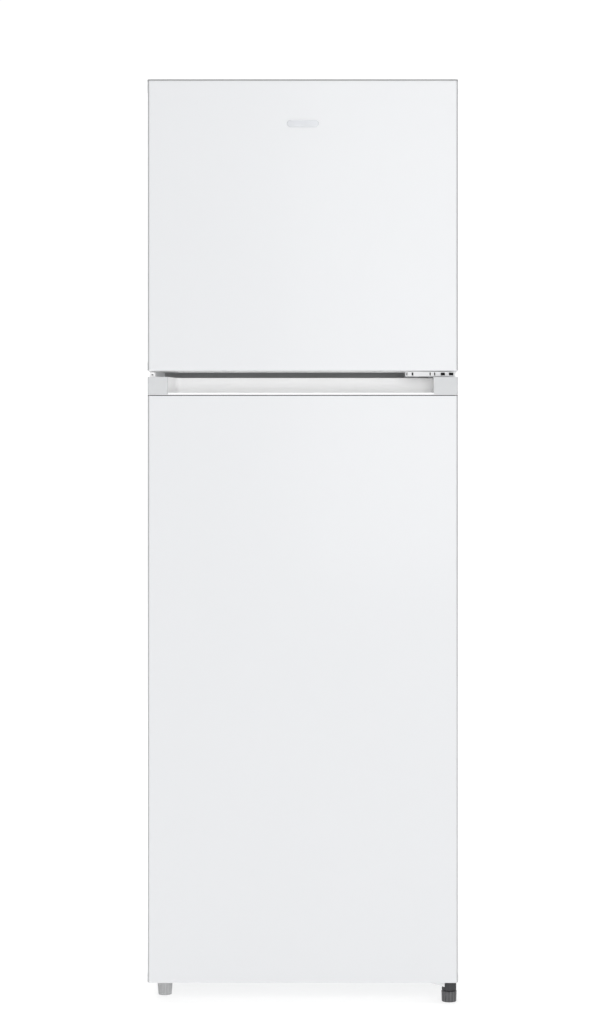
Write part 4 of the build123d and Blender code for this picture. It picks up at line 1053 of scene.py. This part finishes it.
@dataclass
class HingeFoot:
    """Ribbed bush round the lower hinge's pivot, and the gusset plate beside it."""

    radius: float = 12.8 * MILLIMETRE
    groove: float = 0.6 * MILLIMETRE
    ribs: int = 26
    groove_slope: float = 0.12 * MILLIMETRE
    rounding: float = 0.2 * MILLIMETRE
    foot: float = 20.0 * MILLIMETRE
    head: float = 35.8 * MILLIMETRE
    gusset_left: float = 221.6 * MILLIMETRE
    gusset_right: float = 250.0 * MILLIMETRE
    gusset_foot: float = 26.8 * MILLIMETRE
    gusset_front: float = -292.5 * MILLIMETRE
    gusset_depth: float = 2.4 * MILLIMETRE
    gusset_rounding: float = 0.4 * MILLIMETRE

    def build(self, wardrobe: Wardrobe) -> list[bpy.types.Object]:
        """Model both pieces.

        Args:
            wardrobe: The finishes.

        Returns:
            The bush and the gusset.
        """
        return [self.bush(wardrobe), self.gusset(wardrobe)]

    def bush(self, wardrobe: Wardrobe) -> bpy.types.Object:
        """Model a drum with every other side pressed in.

        Args:
            wardrobe: The finishes.

        Returns:
            The bush.
        """
        middle = plan_centre("foot_right")
        deselect()
        bpy.ops.mesh.primitive_cylinder_add(
            vertices=2 * self.ribs,
            radius=self.radius,
            depth=self.head - self.foot,
            location=(middle[0], middle[1], (self.head + self.foot) / 2),
        )
        piece = bpy.context.object
        piece.name = piece.data.name = "pivot_bush"
        bpy.ops.object.transform_apply(location=True, rotation=True, scale=True)
        bpy.ops.object.mode_set(mode="EDIT")
        bpy.ops.mesh.select_mode(type="FACE")
        press_ribs(piece, middle, self.radius, self.ribs, self.groove_slope, self.groove)
        close_mesh(piece)
        round_edges(piece, self.rounding, segments=2)
        wardrobe.dress(piece, "collar_dark")
        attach(piece, "cabinet")
        return piece

    def gusset(self, wardrobe: Wardrobe) -> bpy.types.Object:
        """Model a sloping plate that narrows away from the pivot.

        Args:
            wardrobe: The finishes.

        Returns:
            The gusset.
        """
        piece = start_rectangle(
            "hinge_gusset",
            (self.gusset_left, self.gusset_right),
            self.gusset_front,
            (self.gusset_foot, self.head),
        )
        bpy.ops.object.mode_set(mode="OBJECT")
        tip = self.head - MILLIMETRE
        for vertex in piece.data.vertices:
            if vertex.co.x < self.gusset_left + MILLIMETRE and vertex.co.z < tip:
                vertex.co.z = tip
        bpy.ops.object.mode_set(mode="EDIT")
        bpy.ops.mesh.select_all(action="SELECT")
        push(0.0, self.gusset_depth)
        close_mesh(piece)
        round_edges(piece, self.gusset_rounding, segments=3)
        smooth(angle=40.0)
        wardrobe.dress(piece, "shroud_grey")
        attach(piece, "cabinet")
        return piece


@dataclass
class Carcass:
    """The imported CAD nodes, each in its material slot's finish or one of its own."""

    frame: dict
    wardrobe: Wardrobe

    def slots(self) -> dict[str, str]:
        """Each node's material slot, from the record."""
        return {part["node"]: part["material_slot"] for part in self.frame["record"]["subparts"]}

    def build(self) -> None:
        """Dress every node."""
        for node, slot in self.slots().items():
            piece = self.frame["nodes"][node]
            self.wardrobe.dress(piece, OWN_FINISHES.get(node, slot))
            log.info("dressed %s in %s", node, slot)


@dataclass
class Studio:
    """Pale floor, bright surround, soft lights and the camera."""

    distance: float = 3.5
    eye_height: float = 0.864
    sideways: float = -0.0032
    lens: float = 70.07
    floor_size: float = 30.0
    floor_glow: float = 0.72
    floor_shades: tuple[float, float] = (0.32, 0.33)
    front_light: float = 0.55
    side_light: float = 0.08
    fade: Interval = (0.35, 0.95)
    backdrop: float = 1.05
    top_light: float = 1.7
    top_angle: float = 40.0
    top_height: float = 4.0

    def build(self) -> None:
        """Make the world, the floor, the lamps and the camera."""
        self.make_world()
        self.make_floor()
        self.make_lamps()
        self.make_camera()
        settings = bpy.context.scene.view_settings
        settings.view_transform = "Standard"
        settings.look = "None"

    def make_world(self) -> None:
        """Surround that lights from the front, back and top, and less from both sides."""
        world = bpy.data.worlds.new("studio")
        bpy.context.scene.world = world
        world.use_nodes = True
        tree = world.node_tree
        sky = tree.nodes["Background"]
        place = tree.nodes.new("ShaderNodeTexCoord")
        axes = tree.nodes.new("ShaderNodeSeparateXYZ")
        tree.links.new(place.outputs["Generated"], axes.inputs[0])
        size = tree.nodes.new("ShaderNodeMath")
        size.operation = "ABSOLUTE"
        tree.links.new(axes.outputs["X"], size.inputs[0])
        fade = tree.nodes.new("ShaderNodeMapRange")
        fade.inputs["From Min"].default_value = self.fade[0]
        fade.inputs["From Max"].default_value = self.fade[1]
        fade.inputs["To Min"].default_value = self.front_light
        fade.inputs["To Max"].default_value = self.side_light
        tree.links.new(size.outputs[0], fade.inputs["Value"])
        tree.links.new(fade.outputs[0], sky.inputs["Strength"])
        sky.inputs["Color"].default_value = (0.985, 0.992, 1.0, 1.0)
        white = tree.nodes.new("ShaderNodeBackground")
        white.inputs["Color"].default_value = (1.0, 1.0, 1.0, 1.0)
        white.inputs["Strength"].default_value = self.backdrop
        ray = tree.nodes.new("ShaderNodeLightPath")
        choice = tree.nodes.new("ShaderNodeMixShader")
        tree.links.new(ray.outputs["Is Camera Ray"], choice.inputs[0])
        tree.links.new(sky.outputs[0], choice.inputs[1])
        tree.links.new(white.outputs[0], choice.inputs[2])
        tree.links.new(choice.outputs[0], tree.nodes["World Output"].inputs[0])

    def make_floor(self) -> None:
        """A large pale floor."""
        deselect()
        bpy.ops.mesh.primitive_plane_add(size=self.floor_size, location=(0.0, 0.0, 0.0))
        floor = bpy.context.object
        floor.name = "floor"
        sockets = {
            "IOR": 1.4,
            "Emission Color": (1.0, 1.0, 1.0, 1.0),
            "Emission Strength": self.floor_glow,
        }
        graph = Graph("pale_floor", sockets)
        greys = [(value, value, value) for value in self.floor_shades]
        graph.paint("Base Color", graph.tone(graph.noise(3.0), *greys))
        graph.paint("Roughness", graph.spread(graph.noise(12.0, 4.0), 0.55, 0.7))
        floor.data.materials.append(graph.material)

    def make_lamps(self) -> None:
        """A broad key from the right, a weak fill from the left, one behind, and a top light."""
        self.lamp("key", (1.2, -4.5, 1.9), (0.1, -0.3, 1.2), size=2.6, power=51.0)
        self.lamp("fill", (-2.4, -4.2, 1.3), (0.0, -0.3, 0.6), size=2.0, power=10.0)
        self.lamp("rear", (-1.8, 4.4, 2.6), (0.0, 0.3, 0.8), size=2.6, power=40.0)
        top = bpy.data.lights.new("top", "SUN")
        top.energy = self.top_light
        top.angle = math.radians(self.top_angle)
        above = bpy.data.objects.new("top", top)
        bpy.context.scene.collection.objects.link(above)
        above.location = (0.0, 0.0, self.top_height)

    def lamp(
        self, name: str, place: Sequence[float], target: Sequence[float], size: float, power: float
    ) -> None:
        """Add a square soft lamp.

        Args:
            name: The lamp's name.
            place: Where it hangs.
            target: The point that it faces.
            size: Its side.
            power: Its power in watts.
        """
        data = bpy.data.lights.new(name, "AREA")
        data.size = size
        data.energy = power
        lamp = bpy.data.objects.new(name, data)
        bpy.context.scene.collection.objects.link(lamp)
        lamp.location = place
        way = Vector(target) - Vector(place)
        lamp.rotation_euler = way.to_track_quat("-Z", "Y").to_euler()

    def make_camera(self) -> None:
        """A level camera straight in front of the doors."""
        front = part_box("freezer_door_skin")[0].y
        data = bpy.data.cameras.new("camera")
        data.lens = self.lens
        camera = bpy.data.objects.new("camera", data)
        bpy.context.scene.collection.objects.link(camera)
        camera.location = (self.sideways, front - self.distance, self.eye_height)
        camera.rotation_euler = (math.radians(90.0), 0.0, 0.0)
        bpy.context.scene.camera = camera


def levelling_feet() -> list[LevellingFoot]:
    """The grey foot at the left and the black one under the hinge."""
    left = LevellingFoot(
        node="foot_left",
        finish="foot_light",
        head=26.0 * MILLIMETRE,
        top_radius=14.0 * MILLIMETRE,
        sole_radius=11.9 * MILLIMETRE,
        stem_top=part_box("foot_left")[1].z,
        groove=0.8 * MILLIMETRE,
    )
    right = LevellingFoot(
        node="foot_right",
        finish="foot_dark",
        head=18.2 * MILLIMETRE,
        top_radius=13.47 * MILLIMETRE,
        sole_radius=12.9 * MILLIMETRE,
        stem_top=33.0 * MILLIMETRE,
        groove=1.7 * MILLIMETRE,
    )
    return [left, right]


def edge_strips() -> list[EdgeStrip]:
    """The dark line under the handle band, a painted shadow of its seam, and the grey rim along the
    top of the freezer door, a painted shade of its rounded top edge.
    """
    seam_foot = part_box("fridge_door_skin")[1].z
    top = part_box("freezer_door_skin")[1].z
    # A near-black strip a hair proud of the door front: painted shadow in the seam.
    seam_shadow_strip = EdgeStrip(
        name="handle_seam_painted_shadow",
        body="fridge_door",
        finish="seam_painted_shadow",
        slot="seal_rubber",
        foot=seam_foot - 0.3 * MILLIMETRE,
        head=seam_foot + 1.4 * MILLIMETRE,
        inset=-0.05 * MILLIMETRE,
        reach=30.0 * MILLIMETRE,
        thickness=0.6 * MILLIMETRE,
    )
    # A grey strip on the top edge of the freezer door: painted shade.
    rim = EdgeStrip(
        name="top_rim_painted_shade",
        body="freezer_door",
        finish="top_edge_painted_shade",
        slot="trim_grey",
        foot=top - 3.0 * MILLIMETRE,
        head=top,
        inset=-0.35 * MILLIMETRE,
        reach=0.5 * MILLIMETRE,
        thickness=2.6 * MILLIMETRE,
    )
    return [seam_shadow_strip, rim]


def main() -> None:
    """Load the frame and build the looks round it."""
    logging.basicConfig(level=logging.INFO, format="%(name)s: %(message)s")
    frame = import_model()
    wardrobe = Wardrobe()
    Carcass(frame, wardrobe).build()
    seals = [BellowsSeal(door) for door in ("freezer_door", "fridge_door")]
    makers = [*seals, PressedBack(), *edge_strips(), *levelling_feet(), HingeShroud()]
    for maker in makers:
        log.info("made %s", maker.build(wardrobe).name)
    for piece in HingeFoot().build(wardrobe):
        log.info("made %s", piece.name)
    Studio().build()


if __name__ == "__main__":
    main()
